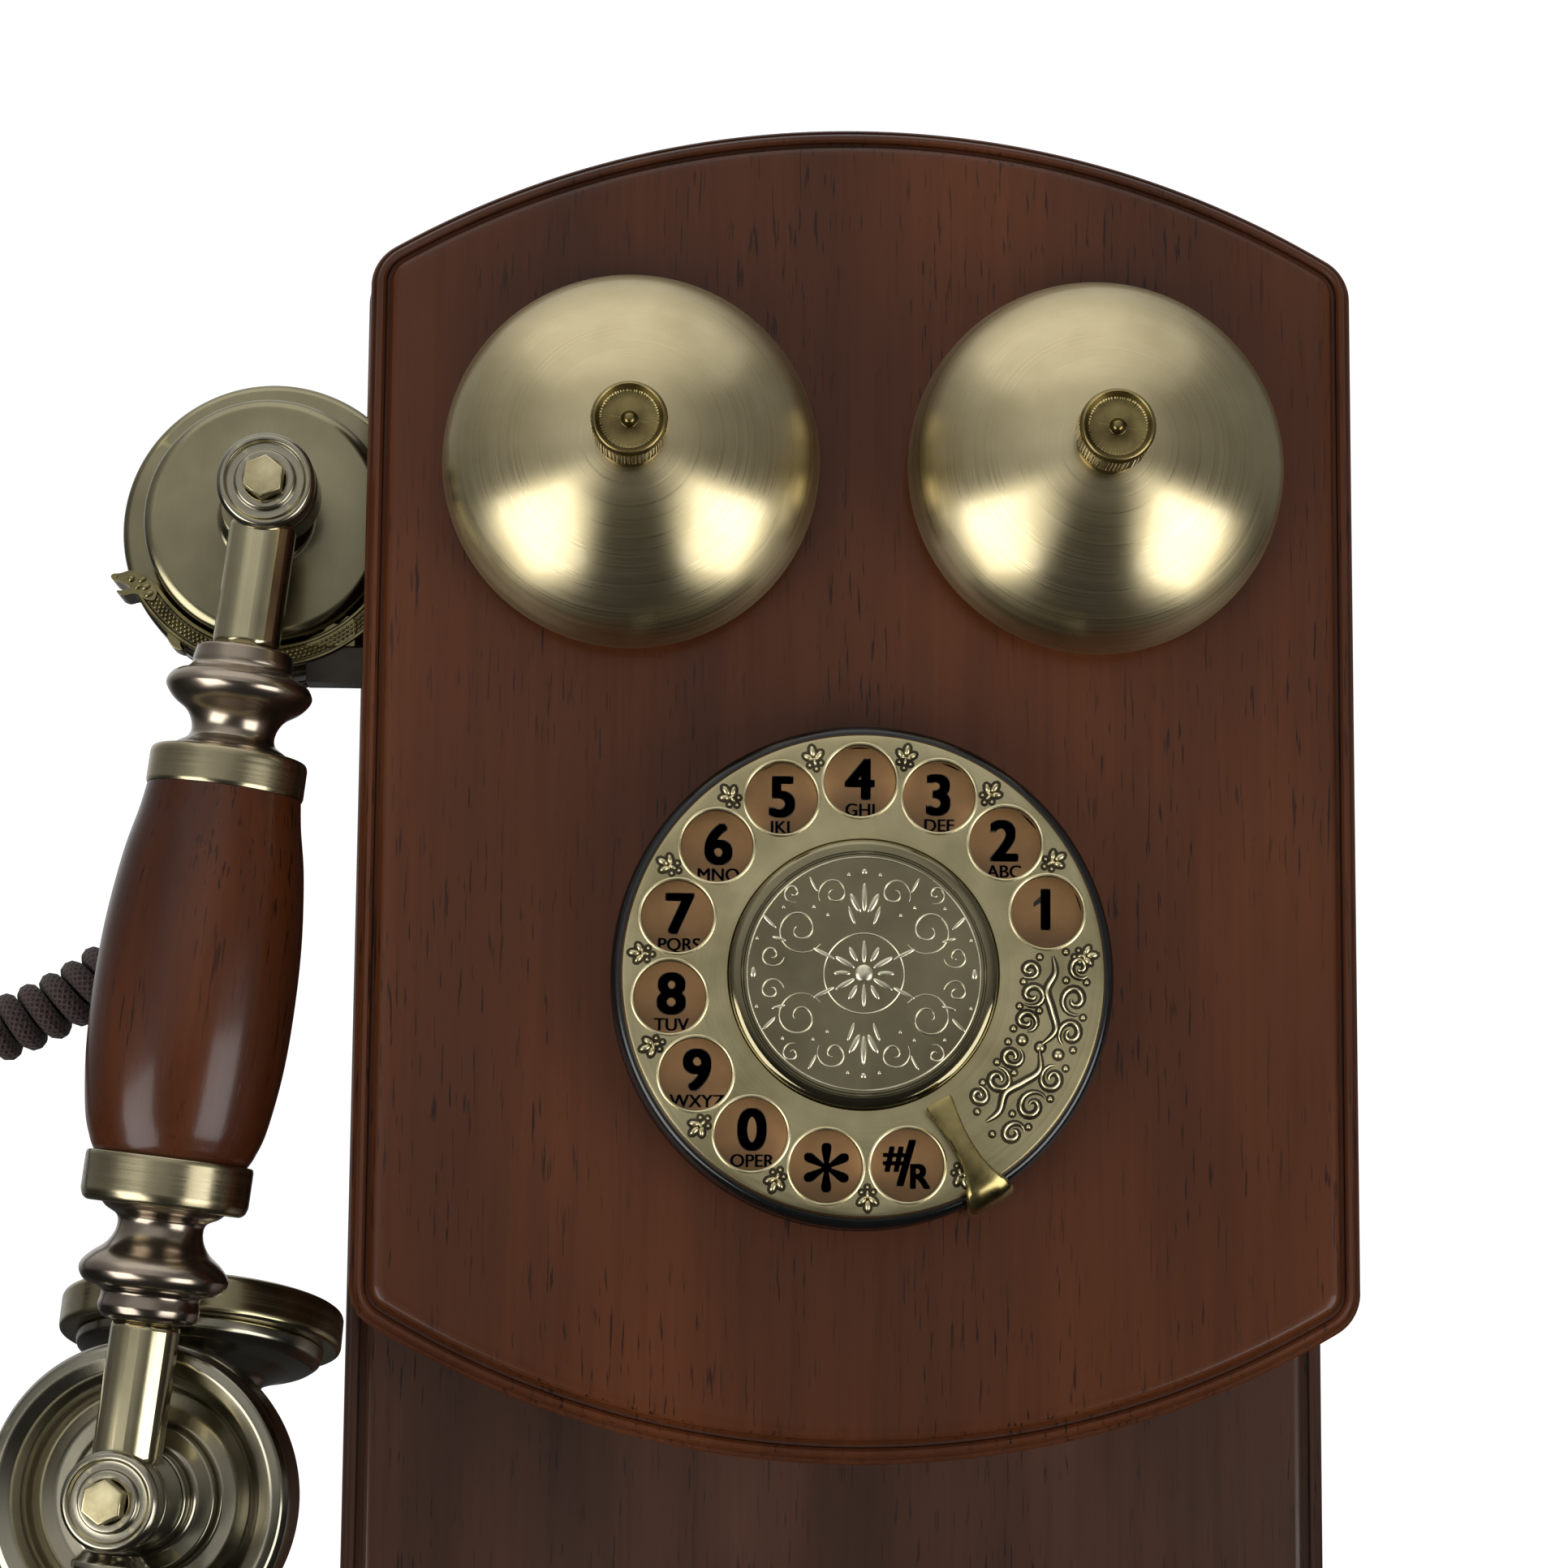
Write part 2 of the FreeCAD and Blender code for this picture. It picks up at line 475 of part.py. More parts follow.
def ringer_frame():
    """Frame that holds the coils and the shaft, and the bracket at the shaft's front."""
    back = block("FrameBack", ("-frame_half", "frame_back_y - frame_plate", "yoke_low"),
                 ("frame_half", "frame_back_y", "frame_high"))
    yoke = block("FrameYoke", ("-frame_half", "coil_y - coil_radius", "yoke_low"),
                 ("frame_half", "frame_back_y", "yoke_high"))
    legs = []
    for side in (-1, 1):
        for row, level in (("Low", "yoke_low"), ("High", "frame_high - leg_side")):
            legs.append(block("FrameLeg%d%s" % (side, row),
                              ("%d * (frame_half - leg_side / 2) - leg_side / 2" % side,
                               "frame_back_y", level),
                              ("%d * (frame_half - leg_side / 2) + leg_side / 2" % side,
                               "board_front_y", level + " + leg_side")))
    bearing = bar("FrameBearing", "ringer_shaft + running_gap", "no_inset", "hammer_z",
                  "frame_back_y - hanger_room", "frame_back_y + hanger_room")
    node(cut("RingerFrame", fused("FrameBlank", back, yoke, *legs), bearing), "ringer_frame")
    upright = block("BracketPlate", ("-bracket_half", "bracket_back_y - frame_plate",
                                     "bracket_low"),
                    ("bracket_half", "bracket_back_y", "bracket_high"))
    foot = block("BracketFoot", ("-bracket_half", "case_front_y", "bracket_low"),
                 ("bracket_half", "bracket_back_y", "bracket_low + frame_plate"))
    hole = bar("BracketBearing", "ringer_shaft + running_gap", "no_inset", "hammer_z",
               "bracket_back_y - hanger_room", "bracket_back_y + hanger_room")
    node(cut("HammerBracket", fused("BracketBlank", upright, foot), hole), "hammer_bracket")


def dial_fixed():
    """Dial parts that stay still: cup, plate, finger stop, frame, springs and contacts."""
    turned("dial_base_ring", "dial_base_ring")
    turned("number_plate", "number_plate")
    stop = block("StopArm", ("-stop_wide / 2", "stop_front_y", "stop_inner"),
                 ("stop_wide / 2", "stop_front_y + stop_thick", "stop_outer"))
    leg = block("StopLeg", ("-stop_wide / 2", "stop_front_y", "stop_outer - stop_leg"),
                ("stop_wide / 2", "panel_face_y", "stop_outer"))
    finger = fused("FingerStopBlank", stop, leg)
    finger.Placement = Placement(Vector(0, 0, 0), Rotation(Vector(0, 1, 0), size("stop_angle")))
    node(finger, "finger_stop")
    plate = bar("DialPlateDisc", "plate_radius", "no_inset", "no_inset", "plate_front_y",
                "plate_front_y + bridge_plate")
    bore = bar("DialPlateBore", "shaft_radius + running_gap", "no_inset", "no_inset",
               "plate_front_y - hanger_room", "plate_front_y + hanger_room")
    across, up = around("governor_ring", "governor_angle")
    seat = bar("GovernorSeat", "governor_shaft + running_gap", across, up,
               "plate_front_y - hanger_room", "plate_front_y + hanger_room")
    node(cut("DialPlate", plate, bore, seat), "dial_plate")
    bridge = bar("DialBridgeDisc", "bridge_radius", "no_inset", "no_inset",
                 "bridge_back_y - bridge_plate", "bridge_back_y")
    far_bore = bar("BridgeBore", "shaft_radius + running_gap", "no_inset", "no_inset",
                   "bridge_back_y - hanger_room", "bridge_back_y + hanger_room")
    far_seat = bar("BridgeSeat", "governor_shaft + running_gap", across, up,
                   "bridge_back_y - hanger_room", "bridge_back_y + hanger_room")
    node(cut("DialBridge", bridge, far_bore, far_seat), "dial_bridge")
    pillars = []
    for number in range(3):
        angle = "%d * 120" % number
        pillar_x, pillar_z = around("pillar_ring", "(60 + %s)" % angle)
        pillars.append(bar("Pillar%d" % number, "pillar_radius", pillar_x, pillar_z,
                           "plate_front_y + bridge_plate", "bridge_back_y - bridge_plate"))
    node(grouped("DialPillars", *pillars), "dial_pillars")
    turned("spring_barrel", "spring_barrel")
    spot = governor_spot()
    turned("governor_housing", "governor_housing", spot)
    node(block("PulseBlock", ("contact_x", "contact_front_y", "-contact_half"),
               ("contact_x + contact_long", "bridge_back_y - bridge_plate",
                "contact_half")), "pulse_contacts")


def governor_spot():
    """Placement of the governor's axis."""
    angle = math.radians(size("governor_angle"))
    ring = size("governor_ring")
    return Placement(Vector(ring * math.sin(angle), 0, ring * math.cos(angle)), Rotation())


def dial_moving():
    """Finger wheel and everything that turns with it, and the governor that it drives."""
    blank = turned("wheel_blank", "wheel", Placement(), False)
    holes = []
    for number in range(12):
        angle = "(hole_first - %d * hole_step)" % number
        across, up = around("hole_ring", angle)
        holes.append(bar("FingerHole%d" % number, "hole_radius", across, up,
                         "pin_front_y - hanger_room", "plate_front_y"))
    node(cut("FingerWheel", blank, *holes), "finger_wheel")
    turned("centre_disc", "centre_disc")
    turned("dial_shaft", "dial_shaft")
    turned("main_gear", "main_gear")
    turned("pulse_cam", "pulse_cam")
    turned("governor_rotor", "governor_rotor", governor_spot())


def hook():
    """Hook lever on its pin, its bracket, and the switch that its inner end works."""
    lever = block("LeverBar", ("lever_outer", "lever_front_y", "lever_low"),
                  ("lever_inner", "lever_front_y + lever_deep", "lever_high"))
    eye = bar("LeverEye", "pivot_radius + running_gap", "pivot_x", "pivot_z",
              "lever_front_y - hanger_room", "lever_front_y + 3 * lever_deep")
    node(cut("HookLever", lever, eye), "hook_lever")
    node(bar("HookPin", "pivot_radius", "pivot_x", "pivot_z", "cheek_front_y",
             "cheek_front_y + cheek_deep"), "hook_pin")
    wall = "case_wall - case_half"
    back = "cheek_front_y + cheek_deep"
    front_cheek = block("CheekFront", (wall, "cheek_front_y", "cheek_low"),
                        ("cheek_inner", "cheek_front_y + cheek_plate", "cheek_high"))
    back_cheek = block("CheekBack", (wall, back + " - cheek_plate", "cheek_low"),
                       ("cheek_inner", back, "cheek_high"))
    shelf = block("HookShelf", (wall, "cheek_front_y", "cheek_low"),
                  ("shelf_inner", back, "cheek_low + cheek_plate"))
    hole = bar("CheekBore", "pivot_radius", "pivot_x", "pivot_z",
               "cheek_front_y - hanger_room", back + " + hanger_room")
    node(cut("HookBracket", fused("BracketU", front_cheek, back_cheek, shelf), hole),
         "hook_bracket")
    middle = "lever_front_y + lever_deep / 2"
    case = block("SwitchCase", ("switch_x", middle + " - switch_half",
                                "cheek_low + cheek_plate"),
                 ("switch_x + switch_long", middle + " + switch_half", "switch_high"))
    bore = post("SwitchBore", "plunger_radius + running_gap", "plunger_x", middle,
                "plunger_bore - arm_half", "switch_high + hanger_room")
    node(cut("HookSwitch", case, bore), "hook_switch")
    node(post("Plunger", "plunger_radius", "plunger_x", middle, "plunger_low",
              "plunger_high"), "switch_plunger")


def cradle():
    """Curved band under the receiver, ending at the left in an animal's head."""
    outer = bar("BandOuter", "cradle_outer", "cradle_x", "cradle_z", "cradle_front_y",
                "cradle_front_y + cradle_deep")
    inner = bar("BandInner", "cradle_inner", "cradle_x", "cradle_z",
                "cradle_front_y - hanger_room", "cradle_front_y + 2 * cradle_deep")
    ring = cut("BandRing", outer, inner)
    wedge = DOC.addObject("Part::Cylinder", "BandWedge")
    bind(wedge, Radius="2 * cradle_outer", Height="3 * cradle_deep",
         Angle="cradle_right - cradle_left")
    turn = Rotation(Vector(1, 0, 0), 90).multiply(Rotation(Vector(0, 0, 1), size("cradle_left")))
    wedge.Placement = Placement(Vector(size("cradle_x"),
                                       size("cradle_front_y") + 2 * size("cradle_deep"),
                                       size("cradle_z")), turn)
    band = DOC.addObject("Part::Common", "Band")
    band.Base = ring
    band.Tool = wedge
    root = block("BandRoot", ("lever_outer", "cradle_front_y", "lever_high"),
                 ("lever_outer + foot_long", "cradle_front_y + cradle_deep", "foot_high"))
    foot = cut("BandFoot", root, bar("FootHollow", "(cradle_inner + cradle_outer) / 2",
                                     "cradle_x", "cradle_z", "cradle_front_y - hanger_room",
                                     "cradle_front_y + 2 * cradle_deep"))
    lever_room = block("LeverRoom", ("lever_outer", "cradle_front_y - hanger_room",
                                     "lever_low - foot_long"),
                       ("lever_inner", "cradle_front_y + 2 * cradle_deep", "lever_high"))
    angle = math.radians(size("cradle_left"))
    middle = (size("cradle_inner") + size("cradle_outer")) / 2
    head = DOC.addObject("Part::Box", "BandHead")
    bind(head, Length="head_long_x", Width="cradle_deep", Height="head_tall")
    head.Placement = Placement(
        Vector(size("cradle_x") + middle * math.cos(angle)
               - size("head_out") * size("head_long_x"),
               size("cradle_front_y"),
               size("cradle_z") + middle * math.sin(angle) - size("head_tall") / 2),
        Rotation())
    node(cut("CradleBand", fused("BandBlank", band, foot, head), lever_room), "cradle_band")


def electric_parts():
    """Circuit board on its standoffs, line jack and cord gland."""
    node(block("CircuitSheet", ("-circuit_half", "circuit_y", "circuit_low"),
               ("circuit_half", "circuit_y + circuit_thick", "circuit_high")),
         "circuit_board")
    feet = []
    for side in (-1, 1):
        for row, level in (("Low", "circuit_low + 2 * standoff_radius"),
                           ("High", "circuit_high - 2 * standoff_radius")):
            feet.append(bar("Standoff%d%s" % (side, row), "standoff_radius",
                            "%d * (circuit_half - 2 * standoff_radius)" % side, level,
                            "circuit_y + circuit_thick", "board_front_y"))
    node(grouped("Standoffs", *feet), "circuit_standoffs")
    body = block("JackBody", ("jack_x - jack_half", "jack_front_y", "case_bottom"),
                 ("jack_x + jack_half", "jack_front_y + jack_deep",
                  "case_bottom + jack_tall"))
    mouth = block("JackMouth", ("jack_x - jack_half + arm_thick", "jack_front_y + head_radius",
                                "case_bottom - hanger_room"),
                  ("jack_x + jack_half - arm_thick", "jack_front_y + jack_deep - head_radius",
                   "case_bottom + jack_room"))
    node(cut("LineJack", body, mouth), "line_jack")
    direction = Rotation(Vector(0, 1, 0), 180 + size("gland_turn"))
    boot = DOC.addObject("Part::Cylinder", "GlandBoot")
    bind(boot, Radius="gland_radius", Height="gland_long + gland_root")
    spot = Vector(size("gland_x"), size("gland_y"), size("gland_z"))
    start = spot - direction.multVec(Vector(0, 0, size("gland_root")))
    boot.Placement = Placement(start, direction)
    inside = block("GlandInside", ("-case_half", "gland_y - 2 * gland_root",
                                   "gland_z - 2 * gland_root"),
                   ("no_inset", "gland_y + 2 * gland_root", "gland_z + 3 * gland_root"))
    node(cut("CordGland", boot, inside), "cord_gland")


def hand_frame(across=0.0, back=0.0, up=0.0, twisted=False, turn=Rotation()):
    """Placement of a piece about a point in the handset's own axes."""
    return hand_place(twisted).multiply(Placement(Vector(across, back, up), turn))


def octagon_bar(name, low, high, twisted):
    """Eight-sided bar between two stations of the handset's axis."""
    prism = DOC.addObject("Part::Prism", name)
    prism.Polygon = 8
    half_side = 180 / prism.Polygon
    bind(prism, Circumradius="bar_across / 2 / cos(%.1f)" % half_side,
         Height="%s - %s" % (high, low))
    spin = Rotation(Vector(0, 0, 1), half_side)
    prism.Placement = hand_frame(up=size(low), twisted=twisted, turn=spin)
    return prism


def handset_arms():
    """Grip on its rod, and the two arms with their bolts."""
    upright = Rotation(Vector(1, 0, 0), 90)
    for label in ("grip", "ferrule_up", "ferrule_down"):
        turned("handset_" + label, label, hand_frame(turn=upright))
    rod = DOC.addObject("Part::Cylinder", "HandsetRod")
    bind(rod, Radius="rod_radius", Height="rod_up - rod_down")
    rod.Placement = hand_frame(up=size("rod_down"))
    node(rod, "handset_rod")
    bolts = []
    for arm, neck, low, high, bolt, twisted in (
            ("receiver_arm", "neck_up", "bar_up_low", "bar_up_high", "bolt_up", False),
            ("transmitter_arm", "neck_down", "bar_down_low", "bar_down_high", "bolt_down",
             True)):
        pieces = [turned(arm + "_neck", neck, hand_frame(twisted=twisted, turn=upright), False),
                  octagon_bar(arm.title().replace("_", "") + "Bar", low, high, twisted),
                  turned(arm + "_boss", "boss", hand_frame(up=size(bolt), twisted=twisted),
                         False)]
        node(fused(arm.title().replace("_", ""), *pieces), arm)
        head = DOC.addObject("Part::Prism", arm.title().replace("_", "") + "Bolt")
        head.Polygon = 6
        bind(head, Circumradius="hex_across / 2 / cos(30)", Height="hex_tall")
        head.Placement = hand_frame(back=-size("boss_wide_5") - size("hex_tall"),
                                    up=size(bolt), twisted=twisted,
                                    turn=Rotation(Vector(1, 0, 0), -90))
        bolts.append(head)
    node(grouped("HandsetBolts", *bolts), "handset_bolts")
    turned("strain_relief", "strain_relief", hand_frame(twisted=True, turn=upright))


def handset_ends():
    """Receiver, and transmitter drum with its horn and mouthpiece."""
    for label in ("cup_shell", "cup_cap", "receiver_capsule"):
        turned("receiver_" + label.replace("receiver_", ""), label,
               hand_frame(across=size("cup_across"), up=size("cup_up")))
    turned("transmitter_drum", "drum", hand_frame(up=size("bolt_down"), twisted=True))
    tilt = Rotation(Vector(0, 1, 0), size("mouth_side"))
    mouth = hand_frame(across=size("mouth_across"), back=size("mouth_back"),
                       up=size("mouth_up"),
                       turn=tilt.multiply(Rotation(Vector(1, 0, 0), 90 - size("mouth_lean"))))
    bowl = turned("horn_bowl", "horn", mouth, False)
    stem = DOC.addObject("Part::Cylinder", "HornStem")
    bind(stem, Radius="horn_wide_1", Height="horn_stem")
    stem.Placement = hand_frame(back=size("drum_along_10"), up=size("bolt_down"), twisted=True,
                                turn=Rotation(Vector(1, 0, 0), -90))
    node(fused("MouthHorn", bowl, stem), "mouthpiece_horn")
    turned("mouthpiece_flange", "flange", mouth)
    turned("mouthpiece_grille", "mouthpiece", mouth)


def cord():
    """Tube along straight runs joined by tangent arcs, from gland to strain relief."""
    direction = Rotation(Vector(0, 1, 0), 180 + size("gland_turn"))
    spot = Vector(size("gland_x"), size("gland_y"), size("gland_z"))
    start = spot + direction.multVec(Vector(0, 0, size("gland_long")))
    finish = hand_frame(up=size("strain_relief_along_3") - size("cord_gap")).Base
    route = [start] + [Vector(*point) for point in CORD_ROUTE] + [finish]
    edges = []
    place = start
    length = 0.0
    for index in range(1, len(route) - 1):
        before = route[index] - route[index - 1]
        after = route[index + 1] - route[index]
        turn = before.getAngle(after)
        tangent = size("ease") * min(before.Length, after.Length)
        radius = tangent / math.tan(turn / 2)
        enter = route[index] - Vector(before).normalize() * tangent
        leave = route[index] + Vector(after).normalize() * tangent
        inward = (Vector(after).normalize() - Vector(before).normalize()).normalize()
        middle = route[index] + inward * (radius / math.cos(turn / 2) - radius)
        edges.append(Part.LineSegment(place, enter).toShape())
        edges.append(Part.Arc(enter, middle, leave).toShape())
        length += (enter - place).Length + radius * turn
        print("cord bend %d: turn %.1f deg, radius %.1f, run %.1f" % (
            index, math.degrees(turn), radius, before.Length))
        place = leave
    edges.append(Part.LineSegment(place, finish).toShape())
    length += (finish - place).Length
    wire = Part.Wire(edges)
    section = Part.Wire([Part.makeCircle(size("cord_radius"), start, route[1] - start)])
    tube = wire.makePipeShell([section], True, False)
    expected = math.pi * size("cord_radius") ** 2 * length
    print("cord length %.1f, volume %.0f of %.0f" % (length, tube.Volume, expected))
    shape = DOC.addObject("Part::Feature", "Cord")
    shape.Shape = tube
    node(shape, "handset_cord")


def write_parts():
    """Recompute, check every object and write one file for each sub-part."""
    DOC.recompute()
    for thing in DOC.Objects:
        if "Invalid" in thing.State or "Error" in thing.State:
            raise RuntimeError("%s did not compute: %s" % (thing.Label, thing.State))
    os.makedirs("parts", exist_ok=True)
    for thing in NODES:
        if thing.Shape.isNull() or not thing.Shape.isValid() or not thing.Shape.Solids:
            raise RuntimeError("%s has no valid solid" % thing.Label)
        thing.Shape.exportStep(os.path.join("parts", thing.Label + ".step"))
        print("%-20s %2d solid(s) %10.1f mm3" % (thing.Label, len(thing.Shape.Solids),
                                               thing.Shape.Volume))
    print("%d sub-parts" % len(NODES))


back_board()
hanger_plates()
case_box()
front_panel()
bells()
hammer()
ringer_coils()
ringer_frame()
dial_fixed()
dial_moving()
hook()
cradle()
electric_parts()
handset_arms()
handset_ends()
cord()
write_parts()
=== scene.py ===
"""Looks of the wall telephone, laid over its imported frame.

Metres, +Z up, the front faces -Y. Pieces are drawn in millimetres and scaled when they are
made. Handset pieces are drawn about the handset's own leaning axis.
"""

import random
from math import atan2, ceil, cos, degrees, pi, radians, sin, sqrt

import bmesh
import bpy
from mathutils import Matrix, Vector


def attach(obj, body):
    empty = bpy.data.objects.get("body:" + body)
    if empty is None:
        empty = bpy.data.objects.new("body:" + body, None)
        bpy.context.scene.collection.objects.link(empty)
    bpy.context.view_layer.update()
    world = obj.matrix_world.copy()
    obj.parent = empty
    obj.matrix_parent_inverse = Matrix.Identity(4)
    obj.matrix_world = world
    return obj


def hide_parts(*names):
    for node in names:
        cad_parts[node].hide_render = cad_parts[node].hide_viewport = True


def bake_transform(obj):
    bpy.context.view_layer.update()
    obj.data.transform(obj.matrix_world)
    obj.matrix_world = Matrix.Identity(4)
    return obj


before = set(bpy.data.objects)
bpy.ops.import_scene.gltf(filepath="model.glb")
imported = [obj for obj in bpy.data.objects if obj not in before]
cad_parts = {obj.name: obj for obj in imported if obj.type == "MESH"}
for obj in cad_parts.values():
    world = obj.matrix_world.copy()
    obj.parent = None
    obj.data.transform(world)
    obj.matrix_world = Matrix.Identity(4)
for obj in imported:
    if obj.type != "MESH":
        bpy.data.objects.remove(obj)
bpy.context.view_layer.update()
MM = 0.001
TAU = 2 * pi
SHARP = radians(34)

# Places and sizes shared by several pieces, in millimetres and degrees.
PANEL_FACE = -92.0
PANEL_BACK = -80.0
WHEEL_FACE = -106.0
PLATE_FACE = -100.4
DISC_FACE = -107.2
BELL_X = 39.5
BELL_Z = 87.4
HOLES = 12
HOLE_RING = 32.1
HOLE_RADIUS = 5.9
HOLE_FIRST = 70.7
HOLE_STEP = 24.0
STOP_ANGLE = 150.0
HAND_SPOT = (-112.0, -84.0, -0.85)
HAND_LEAN = 6.69
HAND_TWIST = -9.0
BOLT_UP = 86.0
BOLT_DOWN = -87.0
CORD_THICK = 12.0
WIRE_THICK = 4.3
CORD_PITCH = 4.7


# ---- materials

class Nodes:
    """A node tree under construction."""

    def __init__(self, tree):
        self.nodes = tree.nodes
        self.links = tree.links

    def add(self, kind, **settings):
        """A node with its properties set."""
        made = self.nodes.new("ShaderNode" + kind)
        for label, value in settings.items():
            setattr(made, label, value)
        return made

    def feed(self, made, **inputs):
        """Set or link a node's inputs by name, and give back the node."""
        for label, value in inputs.items():
            self.plug(made.inputs[label.replace("_", " ")], value)
        return made

    def plug(self, socket, value):
        """Set a socket to a constant, or link it to another node's output."""
        if isinstance(value, bpy.types.NodeSocket):
            self.links.new(value, socket)
        else:
            socket.default_value = value

    def split(self, vector):
        """The three parts of a vector."""
        return self.feed(self.add("SeparateXYZ"), Vector=vector).outputs

    def ramp(self, value, stops):
        """Colour ramp with (position, colour) stops."""
        made = self.add("ValToRGB")
        cells = made.color_ramp.elements
        while len(cells) < len(stops):
            cells.new(1.0)
        for cell, (position, colour) in zip(cells, stops):
            cell.position = position
            cell.color = grey(colour) if isinstance(colour, (int, float)) else tone(colour)
        self.plug(made.inputs["Fac"], value)
        return made.outputs["Color"]

    def swing(self, value, low, high):
        """Grey that follows a noise from one value to another."""
        return self.ramp(value, [(0.3, low), (0.7, high)])

    def mix(self, kind, factor, first, second):
        """Mix two colours."""
        made = self.add("Mix", data_type="RGBA", blend_type=kind)
        return self.feed(made, Factor=factor, A=first, B=second).outputs["Result"]

    def maths(self, kind, first, second=0.0):
        """One step of arithmetic."""
        made = self.add("Math", operation=kind)
        self.plug(made.inputs[0], first)
        self.plug(made.inputs[1], second)
        return made.outputs[0]


class Paint(Nodes):
    """A surface material under construction."""

    def __init__(self, name, **settings):
        self.material = bpy.data.materials.new(name)
        self.material.use_nodes = True
        super().__init__(self.material.node_tree)
        self.shader = self.nodes["Principled BSDF"]
        self.set(**settings)

    def set(self, **inputs):
        """Set or link inputs of the shader."""
        self.feed(self.shader, **inputs)

    def place(self, scale=(1, 1, 1)):
        """The piece's own coordinates, stretched."""
        spot = self.add("TexCoord").outputs["Object"]
        return self.feed(self.add("Mapping"), Vector=spot, Scale=scale).outputs["Vector"]

    def noise(self, vector, scale, detail=3.0, roughness=0.55):
        """Noise value at a vector."""
        made = self.feed(self.add("TexNoise"), Vector=vector, Scale=scale, Detail=detail,
                         Roughness=roughness)
        return made.outputs["Fac"]

    def hollows(self, stops):
        """Ramp over how far the surface is hollow (low) or edged (high)."""
        return self.ramp(self.add("NewGeometry").outputs["Pointiness"], stops)

    def bump(self, height, strength, distance):
        """Raise the surface by a height field."""
        made = self.feed(self.add("Bump"), Height=height, Strength=strength, Distance=distance)
        self.set(Normal=made.outputs["Normal"])


def tone(colour):
    """Linear colour of an 8-bit display colour."""
    linear = [((part / 255 + 0.055) / 1.055) ** 2.4 if part > 10 else part / 3294.6
              for part in colour]
    return (*linear, 1.0)


def grey(value):
    """Neutral linear colour."""
    return (value, value, value, 1.0)


def wood(name, dark, middle, light, gloss, coat=0.15):
    """Stained open-pored wood under lacquer, its grain along Z."""
    paint = Paint(name, Coat_Weight=coat, Coat_Roughness=0.14, Specular_IOR_Level=0.2)
    broad = paint.noise(paint.place((1, 1, 0.2)), 30, 3)
    streak = paint.noise(paint.place((1, 1, 0.03)), 700, 3)
    cloud = paint.noise(paint.place(), 9, 2)
    body = paint.ramp(broad, [(0.3, dark), (0.52, middle), (0.74, light)])
    fine = paint.ramp(streak, [(0.32, 0.72), (0.62, 1.0)])
    body = paint.mix("MULTIPLY", 0.5, body, fine)
    body = paint.mix("MULTIPLY", 0.5, body, paint.swing(cloud, 0.7, 1.0))
    pores = paint.noise(paint.place((1, 1, 0.075)), 1500, 2, 0.5)
    pore_mask = paint.ramp(pores, [(0.6, 1.0), (0.66, 0.3)])
    gather = paint.ramp(paint.noise(paint.place((1, 1, 0.4)), 70, 2), [(0.4, 0.0), (0.6, 1.0)])
    body = paint.mix("MIX", gather, body, paint.mix("MULTIPLY", 1.0, body, pore_mask))
    paint.set(Base_Color=body, Roughness=paint.swing(cloud, gloss - 0.05, gloss + 0.07))
    paint.bump(pore_mask, 0.12, 0.0002)
    return paint.material


def turned_metal(name, light, dark, roughness, rings, brushed=0.5, axis="Y", coat=0.3):
    """Metal with fine marks of turning round an axis, with painted shade in its hollows and a
    painted highlight on its edges.
    """
    paint = Paint(name, Metallic=1.0, Anisotropic=brushed, Anisotropic_Rotation=0.25,
                  Coat_Weight=coat, Coat_Roughness=0.06)
    tangent = paint.add("Tangent", direction_type="RADIAL", axis=axis)
    split = paint.split(paint.place())
    first, second, along = (split[part] for part in ("XZY" if axis == "Y" else "XYZ"))
    reach = paint.maths("SQRT", paint.maths("ADD", paint.maths("MULTIPLY", first, first),
                                            paint.maths("MULTIPLY", second, second)))
    marks = paint.feed(paint.add("CombineXYZ"), X=paint.maths("MULTIPLY", reach, rings),
                       Y=paint.maths("MULTIPLY", along, rings),
                       Z=paint.maths("MULTIPLY", first, 30.0))
    scratch = paint.noise(marks.outputs["Vector"], 1.0, 3, 0.6)
    body = paint.ramp(paint.noise(paint.place(), 70, 3), [(0.3, dark), (0.66, light)])
    body = paint.mix("MULTIPLY", 0.2, body, paint.swing(scratch, 0.76, 1.0))
    # Painted shade and highlight: the colour is darkened in hollows and lightened on edges.
    painted_shade_and_highlight = paint.hollows([(0.44, 0.45), (0.5, 1.0), (0.56, 1.18)])
    paint.set(Base_Color=paint.mix("MULTIPLY", 0.8, body, painted_shade_and_highlight),
              Tangent=tangent.outputs["Tangent"],
              Roughness=paint.swing(scratch, roughness - 0.05, roughness + 0.07))
    paint.bump(scratch, 0.02, 0.00001)
    return paint.material


def soft_metal(name, light, dark, edge, roughness):
    """Plated casting: brushed lengthwise, with a painted brassy highlight on its edges and
    painted shade in its hollows.
    """
    paint = Paint(name, Metallic=1.0, Coat_Weight=0.4, Coat_Roughness=0.05)
    cloud = paint.noise(paint.place(), 45, 3)
    brushed = paint.noise(paint.place((1, 1, 0.03)), 2600, 2)
    body = paint.ramp(cloud, [(0.32, dark), (0.68, light)])
    # Painted highlight: the edges take the light edge colour.
    body = paint.mix("MIX", paint.hollows([(0.52, 0.0), (0.6, 0.6)]), body, tone(edge))
    # Painted shade: the hollows take a dark brown.
    body = paint.mix("MIX", paint.hollows([(0.4, 0.8), (0.48, 0.0)]), body, tone((34, 30, 26)))
    body = paint.mix("MULTIPLY", 0.16, body, paint.swing(brushed, 0.7, 1.0))
    paint.set(Base_Color=body, Roughness=paint.swing(cloud, roughness - 0.03, roughness + 0.05))
    paint.bump(paint.noise(paint.place(), 60, 2), 0.04, 0.0003)
    return paint.material


